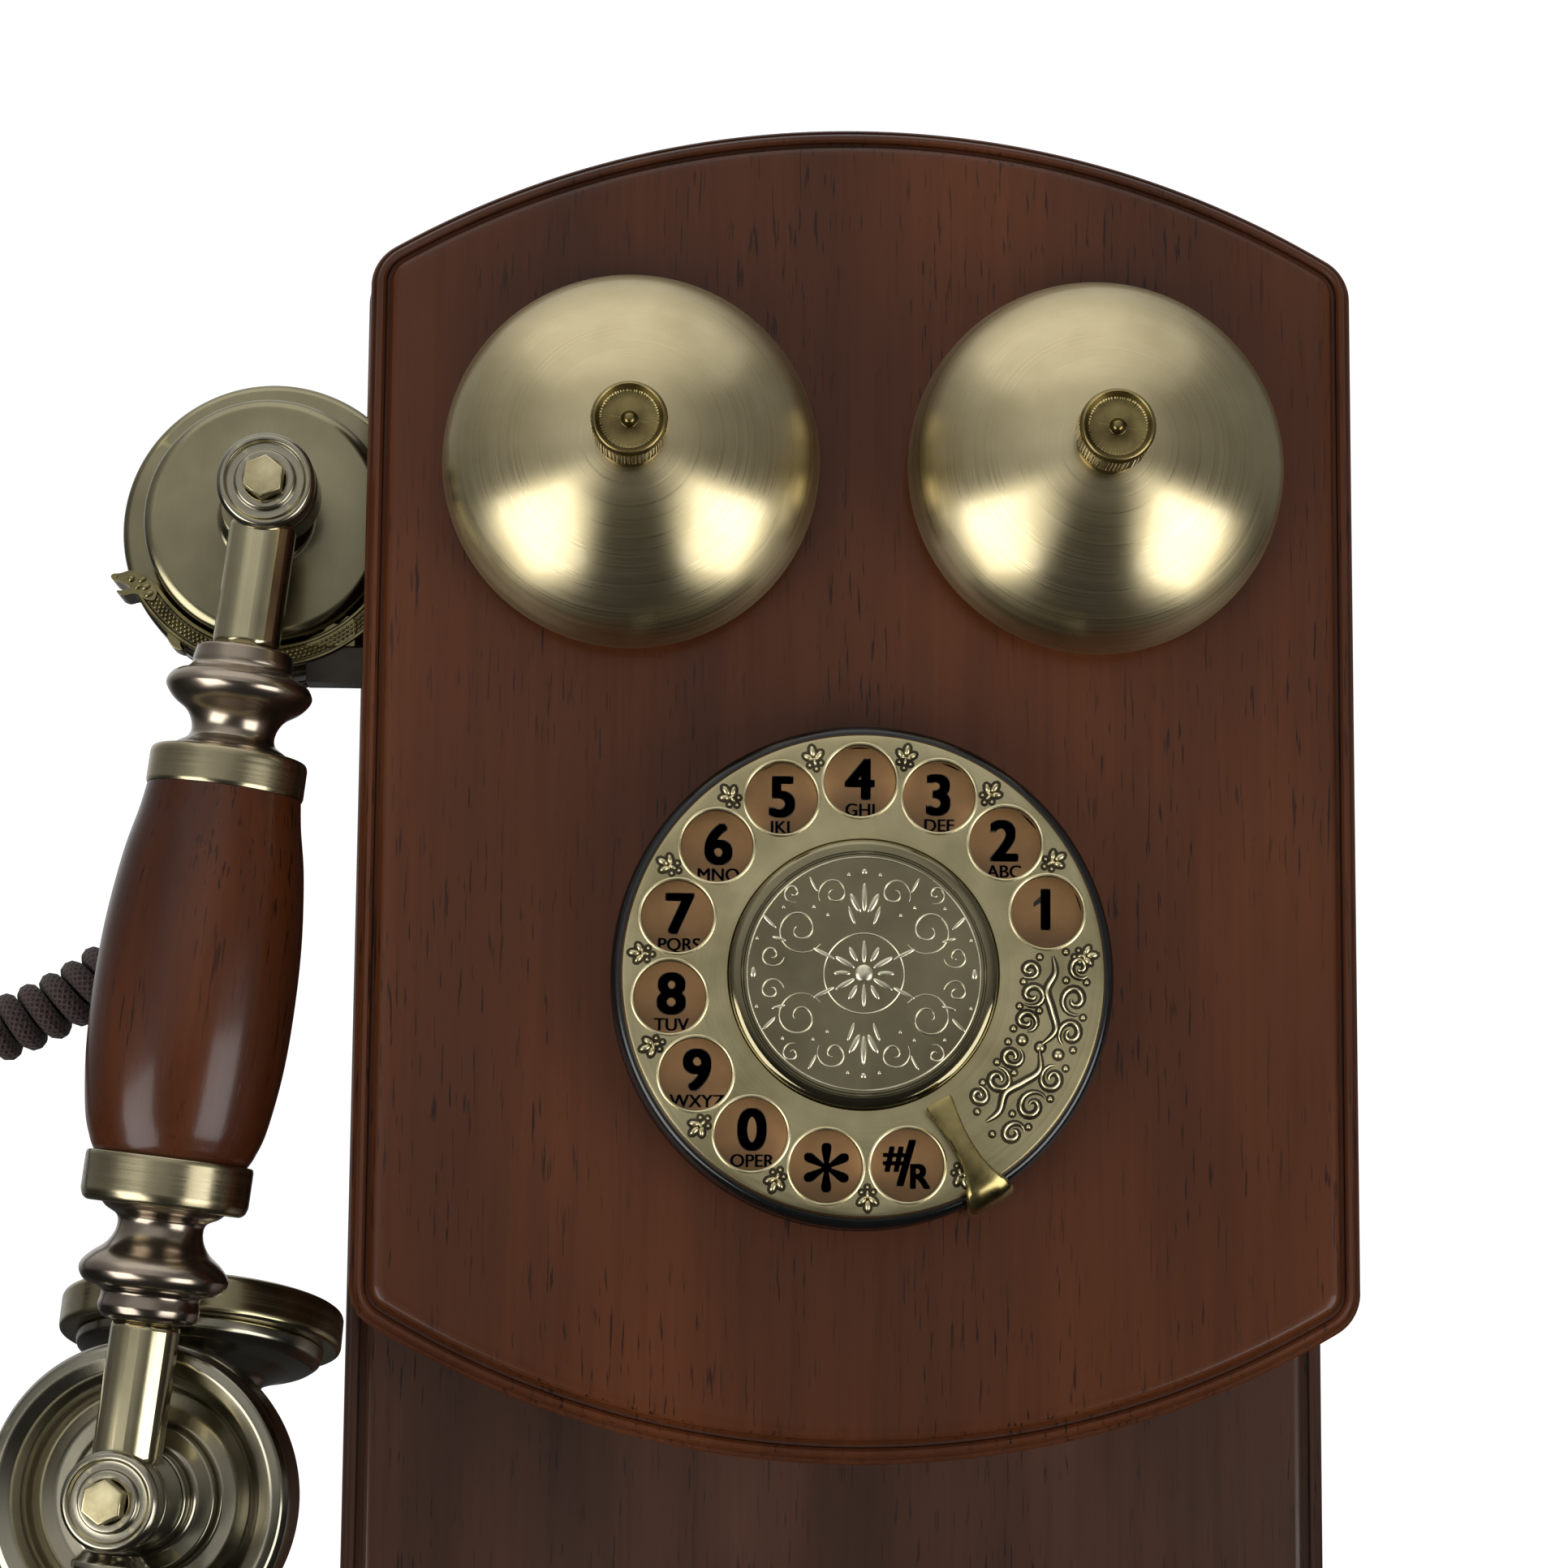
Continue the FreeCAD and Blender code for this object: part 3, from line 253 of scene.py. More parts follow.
def plain_metal(name, light, dark, roughness):
    """Cast or plated metal, with a painted highlight on its edges and painted shade in its
    hollows.
    """
    paint = Paint(name, Metallic=1.0, Coat_Weight=0.25, Coat_Roughness=0.1)
    cloud = paint.noise(paint.place(), 160, 4)
    body = paint.ramp(cloud, [(0.34, dark), (0.64, light)])
    # Painted shade and highlight: darker in hollows, lighter on edges.
    painted_shade_and_highlight = paint.hollows([(0.42, 0.3), (0.5, 0.95), (0.58, 1.3)])
    paint.set(Base_Color=paint.mix("MULTIPLY", 0.9, body, painted_shade_and_highlight),
              Roughness=paint.swing(cloud, roughness - 0.06, roughness + 0.08))
    paint.bump(paint.noise(paint.place(), 1400, 3), 0.08, 0.00005)
    return paint.material


def smooth_plastic(name, colour, roughness, coat=0.2):
    """Moulded plastic or enamel with a faint unevenness."""
    paint = Paint(name, Coat_Weight=coat, Coat_Roughness=0.06)
    cloud = paint.noise(paint.place(), 240, 3)
    paint.set(Base_Color=paint.mix("MULTIPLY", 1.0, tone(colour),
                                   paint.swing(cloud, 0.82, 1.0)),
              Roughness=paint.swing(cloud, roughness, roughness + 0.06))
    paint.bump(cloud, 0.05, 0.00005)
    return paint.material


def wound_copper(name):
    """Fine copper wire, wound round an upright bobbin."""
    paint = Paint(name, Metallic=1.0, Roughness=0.35)
    height = paint.split(paint.place())["Z"]
    turns = paint.maths("SINE", paint.maths("MULTIPLY", height, 16000.0))
    paint.set(Base_Color=paint.ramp(turns, [(0.0, (90, 40, 20)), (0.6, (200, 110, 60))]))
    paint.bump(turns, 0.4, 0.0001)
    return paint.material


def circuit_green(name):
    """Solder mask with paler tracks."""
    paint = Paint(name, Roughness=0.35, Coat_Weight=0.3)
    cells = paint.feed(paint.add("TexBrick"), Vector=paint.place(), Scale=260.0,
                       Color1=tone((18, 70, 40)), Color2=tone((24, 84, 48)),
                       Mortar=tone((70, 120, 70)))
    paint.set(Base_Color=cells.outputs["Color"])
    return paint.material


def braided_cord(name):
    """Dark brown textile jacket, its threads crossing round the wire."""
    paint = Paint(name, Roughness=0.72, Sheen_Weight=0.1, Sheen_Roughness=0.5)
    split = paint.split(paint.add("UVMap").outputs["UV"])
    along = paint.maths("MULTIPLY", split["X"], TAU * 1.1)
    around = paint.maths("MULTIPLY", split["Y"], TAU * 9)
    first, second = (paint.maths("SINE", paint.maths(kind, along, around))
                     for kind in ("ADD", "SUBTRACT"))
    weave = paint.maths("MAXIMUM", first, second)
    body = paint.ramp(weave, [(0.1, (26, 16, 14)), (0.75, (70, 49, 43))])
    fade = paint.swing(paint.noise(paint.place(), 90, 2), 0.75, 1.0)
    paint.set(Base_Color=paint.mix("MULTIPLY", 1.0, body, fade))
    paint.bump(weave, 0.6, 0.00025)
    return paint.material


MATERIALS = {
    "panel_wood": wood("PanelWood", (62, 31, 14), (76, 39, 18), (89, 47, 23), 0.36),
    "board_wood": wood("BoardWood", (48, 29, 20), (68, 42, 30), (86, 56, 43), 0.34, 0.3),
    "case_wood": wood("SideWood", (50, 27, 16), (72, 40, 24), (88, 51, 32), 0.4),
    "grip_wood": wood("GripWood", (36, 14, 6), (60, 28, 12), (88, 45, 20), 0.27, 0.3),
    "bell_brass": turned_metal("BellBrass", (202, 188, 148), (184, 170, 130), 0.3, 4200.0,
                               0.7),
    "dial_brass": turned_metal("DialBrass", (190, 179, 138), (158, 147, 108), 0.3, 2200.0,
                               0.35),
    "disc_brass": turned_metal("DiscBrass", (132, 125, 97), (110, 103, 78), 0.12, 2000.0,
                               0.1),
    "relief_brass": plain_metal("ReliefBrass", (206, 195, 156), (166, 155, 116), 0.3),
    "line_brass": plain_metal("LineBrass", (214, 208, 182), (188, 182, 156), 0.3),
    "nut_brass": plain_metal("NutBrass", (150, 134, 84), (104, 90, 52), 0.3),
    # Dark brass for the sheets of painted shade under the wheel's relief.
    "painted_shade_brass": plain_metal("PaintedShadeBrass", (74, 67, 50), (46, 41, 31), 0.42),
    "hammer_brass": plain_metal("HammerBrass", (190, 170, 110), (150, 130, 80), 0.3),
    # The third colour of each soft metal is painted onto its edges as a highlight.
    "handset_bronze": soft_metal("HandsetBronze", (160, 154, 134), (130, 126, 110),
                                 (190, 180, 138), 0.2),
    "cup_bronze": soft_metal("CupBronze", (152, 145, 114), (124, 117, 90), (196, 184, 130),
                             0.24),
    "neck_bronze": soft_metal("NeckBronze", (172, 158, 140), (138, 126, 112), (190, 178, 136),
                              0.24),
    "bar_brass": soft_metal("BarBrass", (196, 187, 152), (166, 157, 126), (210, 200, 150), 0.2),
    "ferrule_brass": turned_metal("FerruleBrass", (176, 166, 134), (146, 136, 108), 0.26, 1800.0,
                                  0.4, "Z", 0.2),
    "flange_brass": turned_metal("FlangeBrass", (178, 168, 130), (142, 133, 101), 0.24,
                                 1800.0, 0.3, "Y", 0.3),
    "cradle_brass": plain_metal("CradleBrass", (150, 140, 98), (100, 92, 62), 0.3),
    "dark_bronze": plain_metal("DarkBronze", (62, 57, 48), (42, 38, 32), 0.34),
    "stop_brass": plain_metal("StopBrass", (176, 160, 104), (132, 119, 74), 0.26),
    "steel": plain_metal("Steel", (150, 150, 148), (110, 110, 110), 0.34),
    "ring_black": smooth_plastic("RingBlack", (9, 10, 11), 0.2, 0.15),
    "black_plastic": smooth_plastic("BlackPlastic", (22, 22, 24), 0.4),
    "number_card": smooth_plastic("NumberCard", (164, 122, 74), 0.5),
    "ink": smooth_plastic("Ink", (14, 12, 11), 0.5),
    "copper_coil": wound_copper("CopperCoil"),
    "circuit": circuit_green("CircuitGreen"),
    "cord_fabric": braided_cord("CordFabric"),
}


# ---- mesh helpers

def piece(name, shape, body, look, slot, *nodes, place=None, bevel=0.0):
    """Turn a drawn mesh into a piece that rides on a body and stands for CAD parts."""
    bmesh.ops.remove_doubles(shape, verts=shape.verts, dist=0.0005)
    bmesh.ops.recalc_face_normals(shape, faces=shape.faces)
    mesh = mesh_of(name, shape, MATERIALS[look])
    mesh.polygons.foreach_set("use_smooth", [True] * len(mesh.polygons))
    mesh.set_sharp_from_angle(angle=SHARP)
    made = show(name, mesh)
    if place is not None:
        spot = place.copy()
        spot.translation = spot.translation * MM
        made.matrix_world = spot
    if bevel:
        soften(made, bevel, 3)
    level = made.modifiers.new("FlatFaces", "WEIGHTED_NORMAL")
    level.keep_sharp = True
    if body:
        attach(made, body)
    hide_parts(*nodes)
    return made


def mesh_of(name, shape, material):
    """Mesh in metres from a shape drawn in millimetres."""
    mesh = bpy.data.meshes.new(name)
    shape.to_mesh(mesh)
    shape.free()
    mesh.transform(Matrix.Scale(MM, 4))
    mesh.materials.append(material)
    return mesh


def show(name, data, spot=None):
    """Object in the scene from a mesh, light or camera."""
    made = bpy.data.objects.new(name, data)
    if spot is not None:
        made.matrix_world = spot
    bpy.context.scene.collection.objects.link(made)
    return made


def soften(made, width, segments):
    """Round an object's hard edges by a width in millimetres."""
    edge = made.modifiers.new("Edges", "BEVEL")
    edge.width = width * MM
    edge.segments = segments
    edge.limit_method = "ANGLE"
    edge.angle_limit = SHARP


def curved(points, steps=6):
    """Catmull-Rom curve through points of any dimension."""
    spots = [Vector(point) for point in points]
    spots = [2 * spots[0] - spots[1]] + spots + [2 * spots[-1] - spots[-2]]
    line = []
    for index in range(1, len(spots) - 2):
        before, start, end, after = spots[index - 1:index + 3]
        for step in range(steps):
            share = step / steps
            line.append(0.5 * ((2 * start) + (end - before) * share
                               + (2 * before - 5 * start + 4 * end - after) * share ** 2
                               + (3 * start - before - 3 * end + after) * share ** 3))
    return [tuple(spot) for spot in line + [spots[-2]]]


def eased(profile, radius, steps=4):
    """The profile with its inner corners rounded."""
    spots = [Vector(point) for point in profile]
    line = [tuple(spots[0])]
    for before, corner, after in zip(spots, spots[1:], spots[2:]):
        reach = min(radius, 0.45 * (before - corner).length, 0.45 * (after - corner).length)
        start = corner + (before - corner).normalized() * reach
        end = corner + (after - corner).normalized() * reach
        for step in range(steps + 1):
            share = step / steps
            line.append(tuple(start * (1 - share) ** 2 + corner * 2 * share * (1 - share)
                              + end * share ** 2))
    return line + [tuple(spots[-1])]


def lathe(profile, axis="Y", segments=96, warp=None):
    """Shape revolved from (radius, station) corners about local Y or Z."""
    rings = []
    for radius, station in profile:
        ring = []
        for index in range(segments if radius > 1e-6 else 1):
            angle = TAU * index / segments
            wide = radius * (warp(angle, station) if warp else 1.0)
            ring.append(standing(wide * cos(angle), wide * sin(angle), station, axis))
        rings.append(ring)
    shape = bmesh.new()
    rings_of(shape, rings)
    return shape


def standing(first, second, station, axis):
    """Point beside an axis along Y or Z."""
    return (first, station, second) if axis == "Y" else (first, second, station)


def bridge(shape, low, high):
    """Faces between two rings; a ring may be a single point."""
    count = max(len(low), len(high))
    for index in range(count):
        follow = (index + 1) % count
        corners = [low[index % len(low)], low[follow % len(low)],
                   high[follow % len(high)], high[index % len(high)]]
        unique = list(dict.fromkeys(corners))
        if len(unique) > 2:
            shape.faces.new(unique)


def rings_of(shape, rings):
    """Vertices of several rings, bridged one to the next."""
    made = [[shape.verts.new(spot) for spot in ring] for ring in rings]
    for low, high in zip(made, made[1:]):
        bridge(shape, low, high)
    return made


def closed(rings):
    """Shape from rings bridged one to the next, with both ends closed."""
    shape = bmesh.new()
    made = rings_of(shape, rings)
    shape.faces.new(made[0])
    shape.faces.new(made[-1])
    return shape


def cap(shape, loops):
    """Flat face with holes between closed loops of vertices."""
    edges = []
    for loop in loops:
        for index, vertex in enumerate(loop):
            pair = (vertex, loop[(index + 1) % len(loop)])
            edges.append(shape.edges.get(pair) or shape.edges.new(pair))
    bmesh.ops.triangle_fill(shape, use_beauty=True, edges=edges)


def pierced(shape, outer, holes):
    """Plate whose outer rings and hole rings all run from front to back."""
    made = [rings_of(shape, rings) for rings in [outer] + holes]
    cap(shape, [rings[0] for rings in made])
    cap(shape, [rings[-1] for rings in made])


def circle(radius, depth, centre=(0.0, 0.0), count=48):
    """Ring of points that faces the front."""
    return [(centre[0] + radius * cos(TAU * index / count), depth,
             centre[1] + radius * sin(TAU * index / count)) for index in range(count)]


def clock(radius, angle):
    """Point at an angle clockwise from the top, in degrees."""
    turn = radians(angle)
    return radius * sin(turn), radius * cos(turn)


def dome(shape, x, z, wide, tall, turn, height, base, segments=14):
    """Low oval dome that stands out towards the front."""
    cosine, sine = cos(turn), sin(turn)
    rings = []
    for level in (0.0, 0.35, 0.7, 0.92):
        share = sqrt(1 - level ** 2)
        ring = []
        for index in range(segments):
            angle = TAU * index / segments
            across, up = wide * share * cos(angle), tall * share * sin(angle)
            ring.append((x + across * cosine - up * sine, base - height * level,
                         z + across * sine + up * cosine))
        rings.append(ring)
    rings.append([(x, base - height, z)])
    rings_of(shape, rings)


def ribbon(shape, path, wide, height, base, tail=0.25):
    """Rounded raised line along a path of (x, z) points, narrower at its ends."""
    spots = [Vector(point) for point in path]
    count = len(spots) - 1
    rows = []
    for index, spot in enumerate(spots):
        way = (spots[min(index + 1, count)] - spots[max(index - 1, 0)]).normalized()
        side = Vector((-way.y, way.x))
        swell = tail + (1 - tail) * sin(pi * index / count) ** 0.6
        row = []
        for across, up in ((-0.5, 0.0), (-0.32, 0.75), (0.0, 1.0), (0.32, 0.75), (0.5, 0.0)):
            place = spot + side * (across * wide * swell)
            row.append(shape.verts.new((place.x, base - up * height * swell, place.y)))
        rows.append(row)
    for low, high in zip(rows, rows[1:]):
        for index in range(4):
            shape.faces.new((low[index], low[index + 1], high[index + 1], high[index]))
    shape.faces.new(rows[0])
    shape.faces.new(rows[-1])


def spiral(x, z, large, small, start, sweep, count=22):
    """Path that winds inwards about a point."""
    path = []
    for index in range(count + 1):
        share = index / count
        radius = large + (small - large) * share
        angle = radians(start + sweep * share)
        path.append((x + radius * cos(angle), z + radius * sin(angle)))
    return path


def slab(shape, outline, front, back):
    """Flat piece with an (x, z) outline."""
    pierced(shape, [[(x, front, z) for x, z in outline], [(x, back, z) for x, z in outline]], [])


def hand(across=0.0, back=0.0, up=0.0, twisted=False, turn=None):
    """Placement in the handset's own axes: local Z up the handset, local Y to the back."""
    frame_of = (Matrix.Translation(HAND_SPOT)
                @ Matrix.Rotation(radians(HAND_LEAN), 4, "Y")
                @ Matrix.Rotation(radians(HAND_TWIST if twisted else 0), 4, "Z")
                @ Matrix.Translation((across, back, up)))
    return frame_of @ turn if turn is not None else frame_of


def dress(names, material):
    """Give CAD parts that stay their material, and break their hard edges."""
    for name in names:
        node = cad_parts[name]
        for cell in node.material_slots:
            cell.link = "OBJECT"
            cell.material = MATERIALS[material]
        soften(node, 0.25, 2)


# ---- boards

def arched_outline(half, arch, top, bottom, shoulder, inset, depth):
    """Closed outline with straight sides, arched ends and rounded shoulders."""
    reach = half - shoulder
    rise = sqrt((arch - shoulder) ** 2 - reach ** 2)
    lean = atan2(rise, reach)
    upper, lower = top - arch, bottom + arch
    turns = [(reach, upper + rise, shoulder, 0, lean, 10),
             (0, upper, arch, lean, pi - lean, 64),
             (-reach, upper + rise, shoulder, pi - lean, pi, 10),
             (-reach, lower - rise, shoulder, pi, pi + lean, 10),
             (0, lower, arch, pi + lean, TAU - lean, 64),
             (reach, lower - rise, shoulder, TAU - lean, TAU, 10)]
    ring = []
    for x, z, radius, start, end, steps in turns:
        for step in range(steps):
            angle = start + (end - start) * step / (steps - 0.5)
            ring.append((x + (radius - inset) * cos(angle), depth,
                         z + (radius - inset) * sin(angle)))
    return ring


# Edge mouldings from the face to the back: (inset, depth).
PANEL_EDGE = [(6.6, -92.0), (5.2, -91.9), (4.5, -91.55), (4.15, -91.0), (4.05, -90.4),
              (3.95, -89.5), (3.5, -89.0), (3.0, -89.1), (2.8, -89.7), (2.35, -90.0),
              (1.75, -89.9), (1.3, -89.4), (1.15, -88.7), (0.95, -88.3), (0.6, -88.4),
              (0.25, -88.0), (0.05, -87.3), (0.0, -86.4), (0.15, -85.6), (0.5, -85.2),
              (0.5, -84.8), (0.15, -84.3), (0.0, -83.4), (0.1, -81.6), (0.6, -80.3),
              (1.4, -80.0)]
BOARD_EDGE = [(6.4, -12.0), (5.4, -11.9), (4.7, -11.4), (4.4, -10.6), (4.2, -9.6),
              (3.7, -9.1), (3.1, -9.2), (2.7, -9.7), (2.0, -9.8), (1.4, -9.3), (1.1, -8.5),
              (0.8, -8.1), (0.4, -7.8), (0.1, -7.0), (0.0, -6.0), (0.25, -5.3), (0.25, -4.9),
              (0.0, -4.2), (0.0, -1.6), (0.4, -0.4), (1.2, 0.0)]


def box_loop(side, near, far, low, high, depth):
    """Rectangle that faces the front, to the left or right of the middle."""
    left, right = sorted((side * near, side * far))
    return [(left, depth, low), (right, depth, low), (right, depth, high), (left, depth, high)]


PANEL_OPENING = 36.0
PANEL_SLOT = (10.5, 17.9, 83.9, 90.9)
HANGER_POCKET = (49.0, 71.0, 103.0, 137.0)


def front_panel():
    """Arched panel with a moulded edge and its openings."""
    outer = [arched_outline(85, 159, 149, -80.5, 8, inset, depth) for inset, depth in PANEL_EDGE]
    faces = (PANEL_FACE, PANEL_BACK)
    holes = [[circle(PANEL_OPENING, depth) for depth in faces]]
    for side in (-1, 1):
        holes.append([circle(2.5, depth, (side * BELL_X, BELL_Z), 24) for depth in faces])
        holes.append([box_loop(side, *PANEL_SLOT, depth) for depth in faces])
    shape = bmesh.new()
    pierced(shape, outer, holes)
    piece("front_panel_moulded", shape, "case", "panel_wood", "panel_wood", "front_panel")


def back_board():
    """Arched board with a moulded edge and pockets for the hanger plates."""
    outer = [arched_outline(92, 166, 170, -150, 8, inset, depth) for inset, depth in BOARD_EDGE]
    shape = bmesh.new()
    rings = rings_of(shape, outer)
    cap(shape, [rings[0]])
    pockets = []
    for side in (-1, 1):
        pocket = rings_of(shape, [box_loop(side, *HANGER_POCKET, depth) for depth in (0, -5)])
        cap(shape, [pocket[1]])
        pockets.append(pocket[0])
    cap(shape, [rings[-1]] + pockets)
    piece("back_board_moulded", shape, "case", "board_wood", "board_wood", "back_board")


# ---- bells

BELL_WALL = 0.85
BELL_BORE = 2.4
BELL_RIM = -96.0
BELL_OUTER = [(2.4, -117.5), (7, -117.2), (13, -115.7), (20, -112.7), (25.6, -109.2),
              (29.4, -105.4), (31.4, -101.2), (32, -97.2)]
NUT_PROFILE = [(0, -130.0), (0.7, -129.9), (1.1, -129.4), (1.4, -128.9), (3.4, -128.9),
               (4.8, -129.0), (5.2, -129.6), (5.6, -130.2), (6.0, -129.9), (6.3, -129.3),
               (6.3, -123.4), (5.9, -122.5), (4.7, -122.0), (4.3, -120.6), (5.1, -118.6),
               (5.6, -117.5), (2.4, -117.5)]


def knurl(angle, station):
    """Ribs round the side of a thumb nut."""
    on_side = -129.2 < station < -123.3
    return 1.0 - (0.035 if on_side and sin(64 * angle) > 0 else 0.0)


def bells():
    """Bells and their knurled thumb nuts."""
    outer = curved(BELL_OUTER, 7)
    inner = [(max(radius - BELL_WALL, BELL_BORE), min(station + BELL_WALL, BELL_RIM))
             for radius, station in outer]
    profile = outer + [(32, -96.4), (31.7, BELL_RIM), (31.2, BELL_RIM)] + inner[::-1]
    nuts = eased(NUT_PROFILE[:9] + [(6.3, -129.0 + 0.7 * step) for step in range(9)]
                 + NUT_PROFILE[11:], 0.25, 2)
    for side, label in ((-1, "left"), (1, "right")):
        spot = Matrix.Translation((side * BELL_X, 0, BELL_Z))
        piece(label + "_bell_spun", lathe(profile, segments=160), "case", "bell_brass",
              "bell_brass", label + "_bell", place=spot)
        piece(label + "_bell_nut", lathe(nuts, segments=256, warp=knurl), "case", "nut_brass",
              "bell_brass", "bell_nuts", place=spot)


# ---- dial

def base_ring():
    """Glossy black cup round the finger wheel, with a rounded rim."""
    rim = curved([(38.7, -102.2), (39.4, -103.6), (40.6, -103.8), (41.5, -102.8),
                  (41.7, -101.2), (41.7, -93.2)])
    cup = [(9, -99.4), (38.4, -99.4), (38.6, -99.7), (38.7, -102.2)] + rim + [
        (41.9, -92.4), (41.9, -92), (12, -92), (12, -79), (9, -79), (9, -99.4)]
    piece("dial_ring_rounded", lathe(cup, segments=128), "case", "ring_black", "ring_black",
          "dial_base_ring")


def hole_spot(number):
    """Middle of a finger hole, counted from the 1."""
    return clock(HOLE_RING, HOLE_FIRST - HOLE_STEP * number)


# Small shifts that thicken a numeral when its copies overlap.
BOLD = [(0.36 * across, 0.24 * up) for across in (-1, 0, 1) for up in (-1, 0, 1)]


def bold(shape, text, x, z, tall, weight=1.0):
    """Add characters thickened by overlapping copies."""
    for shift_x, shift_z in BOLD:
        write(shape, text, x + weight * shift_x, z + weight * shift_z, tall)


LABELS = [("1", ""), ("2", "ABC"), ("3", "DEF"), ("4", "GHI"), ("5", "JKL"), ("6", "MNO"),
          ("7", "PQRS"), ("8", "TUV"), ("9", "WXYZ"), ("0", "OPER")]
# Marks in the last two holes: (hole, mark, across, up, tall).
MARKS = [(10, "*", 0.25, -3.6, 17.5), (11, "#", -1.9, 1.3, 5.6), (11, "/", 0.1, 0.1, 10.5),
         (11, "R", 2.2, -1.9, 5.6)]
# Slanted stroke that gives the 1 a clearer head.
ONE_FLAG = [(-1.75, 2.1), (-1.75, 1.3), (0.3, 2.6), (0.3, 3.9)]


def number_card():
    """Plate behind the finger wheel, and the marks that are printed on it."""
    back = PLATE_FACE + 1
    plate = lathe([(24, PLATE_FACE), (38.2, PLATE_FACE), (38.2, back), (24, back),
                   (24, PLATE_FACE)], segments=128)
    piece("number_card", plate, "case", "number_card", "number_card", "number_plate")
    ink = bmesh.new()
    for number, (numeral, letters) in enumerate(LABELS):
        x, z = hole_spot(number)
        bold(ink, numeral, x + 0.25, z + 0.55, 9.4)
        if letters:
            for shift in (-0.1, 0.0, 0.1):
                write(ink, letters, x + 0.3 + shift, z - 4.3, 3.0)
        else:
            slab(ink, [(x + across, z + up) for across, up in ONE_FLAG], PLATE_FACE - 0.05,
                 PLATE_FACE - 0.01)
    for number, mark, across, up, tall in MARKS:
        x, z = hole_spot(number)
        bold(ink, mark, x + across, z + up, tall, 0.6)
    piece("number_print", ink, "case", "ink", "number_card", "number_plate")


def write(shape, text, x, z, tall):
    """Add flat printed characters, upright and centred on a point."""
    line = bpy.data.curves.new("Print", "FONT")
    line.body = text
    line.align_x = "CENTER"
    line.align_y = "CENTER"
    line.size = tall
    line.extrude = 0.02
    holder = bpy.data.objects.new("Print", line)
    flat = bpy.data.meshes.new_from_object(holder)
    flat.transform(Matrix.Translation((x, PLATE_FACE - 0.03, z))
                   @ Matrix.Rotation(pi / 2, 4, "X"))
    shape.from_mesh(flat)
    bpy.data.meshes.remove(flat)
    bpy.data.objects.remove(holder)
    bpy.data.curves.remove(line)


def finger_wheel():
    """Finger wheel with bevelled holes."""
    back = -103.2
    edge = [(39.1, WHEEL_FACE), (39.65, -105.85), (39.95, -105.4), (40, -104.8), (40, -104.2),
            (39.5, -103.4), (38.6, back)]
    bore = [(22.5, WHEEL_FACE), (22.4, -105.9), (22.4, back)]
    rim = [(0.5, WHEEL_FACE), (0.28, -105.95), (0.08, -105.7), (0, -105.3), (0, -103.5),
           (0.2, back)]
    holes = [[circle(radius, depth, count=128) for radius, depth in bore]]
    for number in range(HOLES):
        holes.append([circle(HOLE_RADIUS + wider, depth, hole_spot(number), 56)
                      for wider, depth in rim])
    shape = bmesh.new()
    pierced(shape, [circle(radius, depth, count=192) for radius, depth in edge], holes)
    piece("finger_wheel_bevelled", shape, "dial", "dial_brass", "dial_brass", "finger_wheel")


def hole_rims():
    """Thin raised beads round the finger holes, in a lighter brass that paints the highlight of
    their bevels.
    """
    shape = bmesh.new()
    bead = [(0.06, -105.9), (0.12, -106.12), (0.34, -106.2), (0.56, -106.12), (0.62, -105.9)]
    for number in range(HOLES):
        rings_of(shape, [circle(HOLE_RADIUS + wider, depth, hole_spot(number), 56)
                         for wider, depth in bead])
    # Painted highlight: the lighter brass stands in for the shine of the bevels.
    piece("hole_rims", shape, "dial", "relief_brass", "dial_brass", "finger_wheel")


FLOWER_RING = 36.6
SCROLL_RING = 31.4
SCROLL_MIDDLE = 112.0
# Curls of one half of the scrollwork: middle, large and small radius, start and sweep.
WHEEL_CURLS = [(3.6, 4.0, 2.1, 0.5, 200, 470), (3.6, -3.6, 2.0, 0.5, 160, -470),
               (8.6, 3.6, 2.4, 0.5, 150, 480), (8.6, -3.4, 2.3, 0.5, 210, -480),
               (13.4, 4.3, 1.8, 0.4, 140, 450), (13.2, -4.0, 1.7, 0.4, 220, -450)]
WHEEL_DOTS = [(1.4, 5.2), (6.2, 5.4), (11.2, 5.4), (1.4, -5.2), (6.0, -5.2), (10.9, -5.0),
              (5.9, -1.9), (11.4, 2.0), (15.8, 2.2), (15.4, -2.2)]


def flower(shape, angle, lift, grow=0.0):
    """Small three-petalled flower with dots, its head towards the wheel's edge."""
    turn = radians(-angle)
    cosine, sine = cos(turn), sin(turn)
    for across, out, wide, tall, lean, high, sides in (
            (0, 1.3, 0.5, 0.95, 0, 1, 10), (-0.9, 0.5, 0.45, 0.85, 0.9, 1, 10),
            (0.9, 0.5, 0.45, 0.85, -0.9, 1, 10), (0, -0.5, 0.3, 0.7, 0, 1, 10),
            (0, -0.05, 0.95, 0.24, 0, 1.2, 10), (-0.95, -0.9, 0.3, 0.3, 0, 1, 8),
            (0.95, -0.9, 0.3, 0.3, 0, 1, 8), (0, -1.7, 0.3, 0.3, 0, 1, 8)):
        radius = FLOWER_RING + out
        dome(shape, across * cosine - radius * sine, across * sine + radius * cosine,
             wide + grow, tall + grow, turn + lean, lift * high, WHEEL_FACE, sides)


def bent_scroll(across, out, side):
    """Point of the scrollwork: tangential and radial millimetres about its middle."""
    return clock(SCROLL_RING + out, SCROLL_MIDDLE + side * degrees(across / SCROLL_RING))


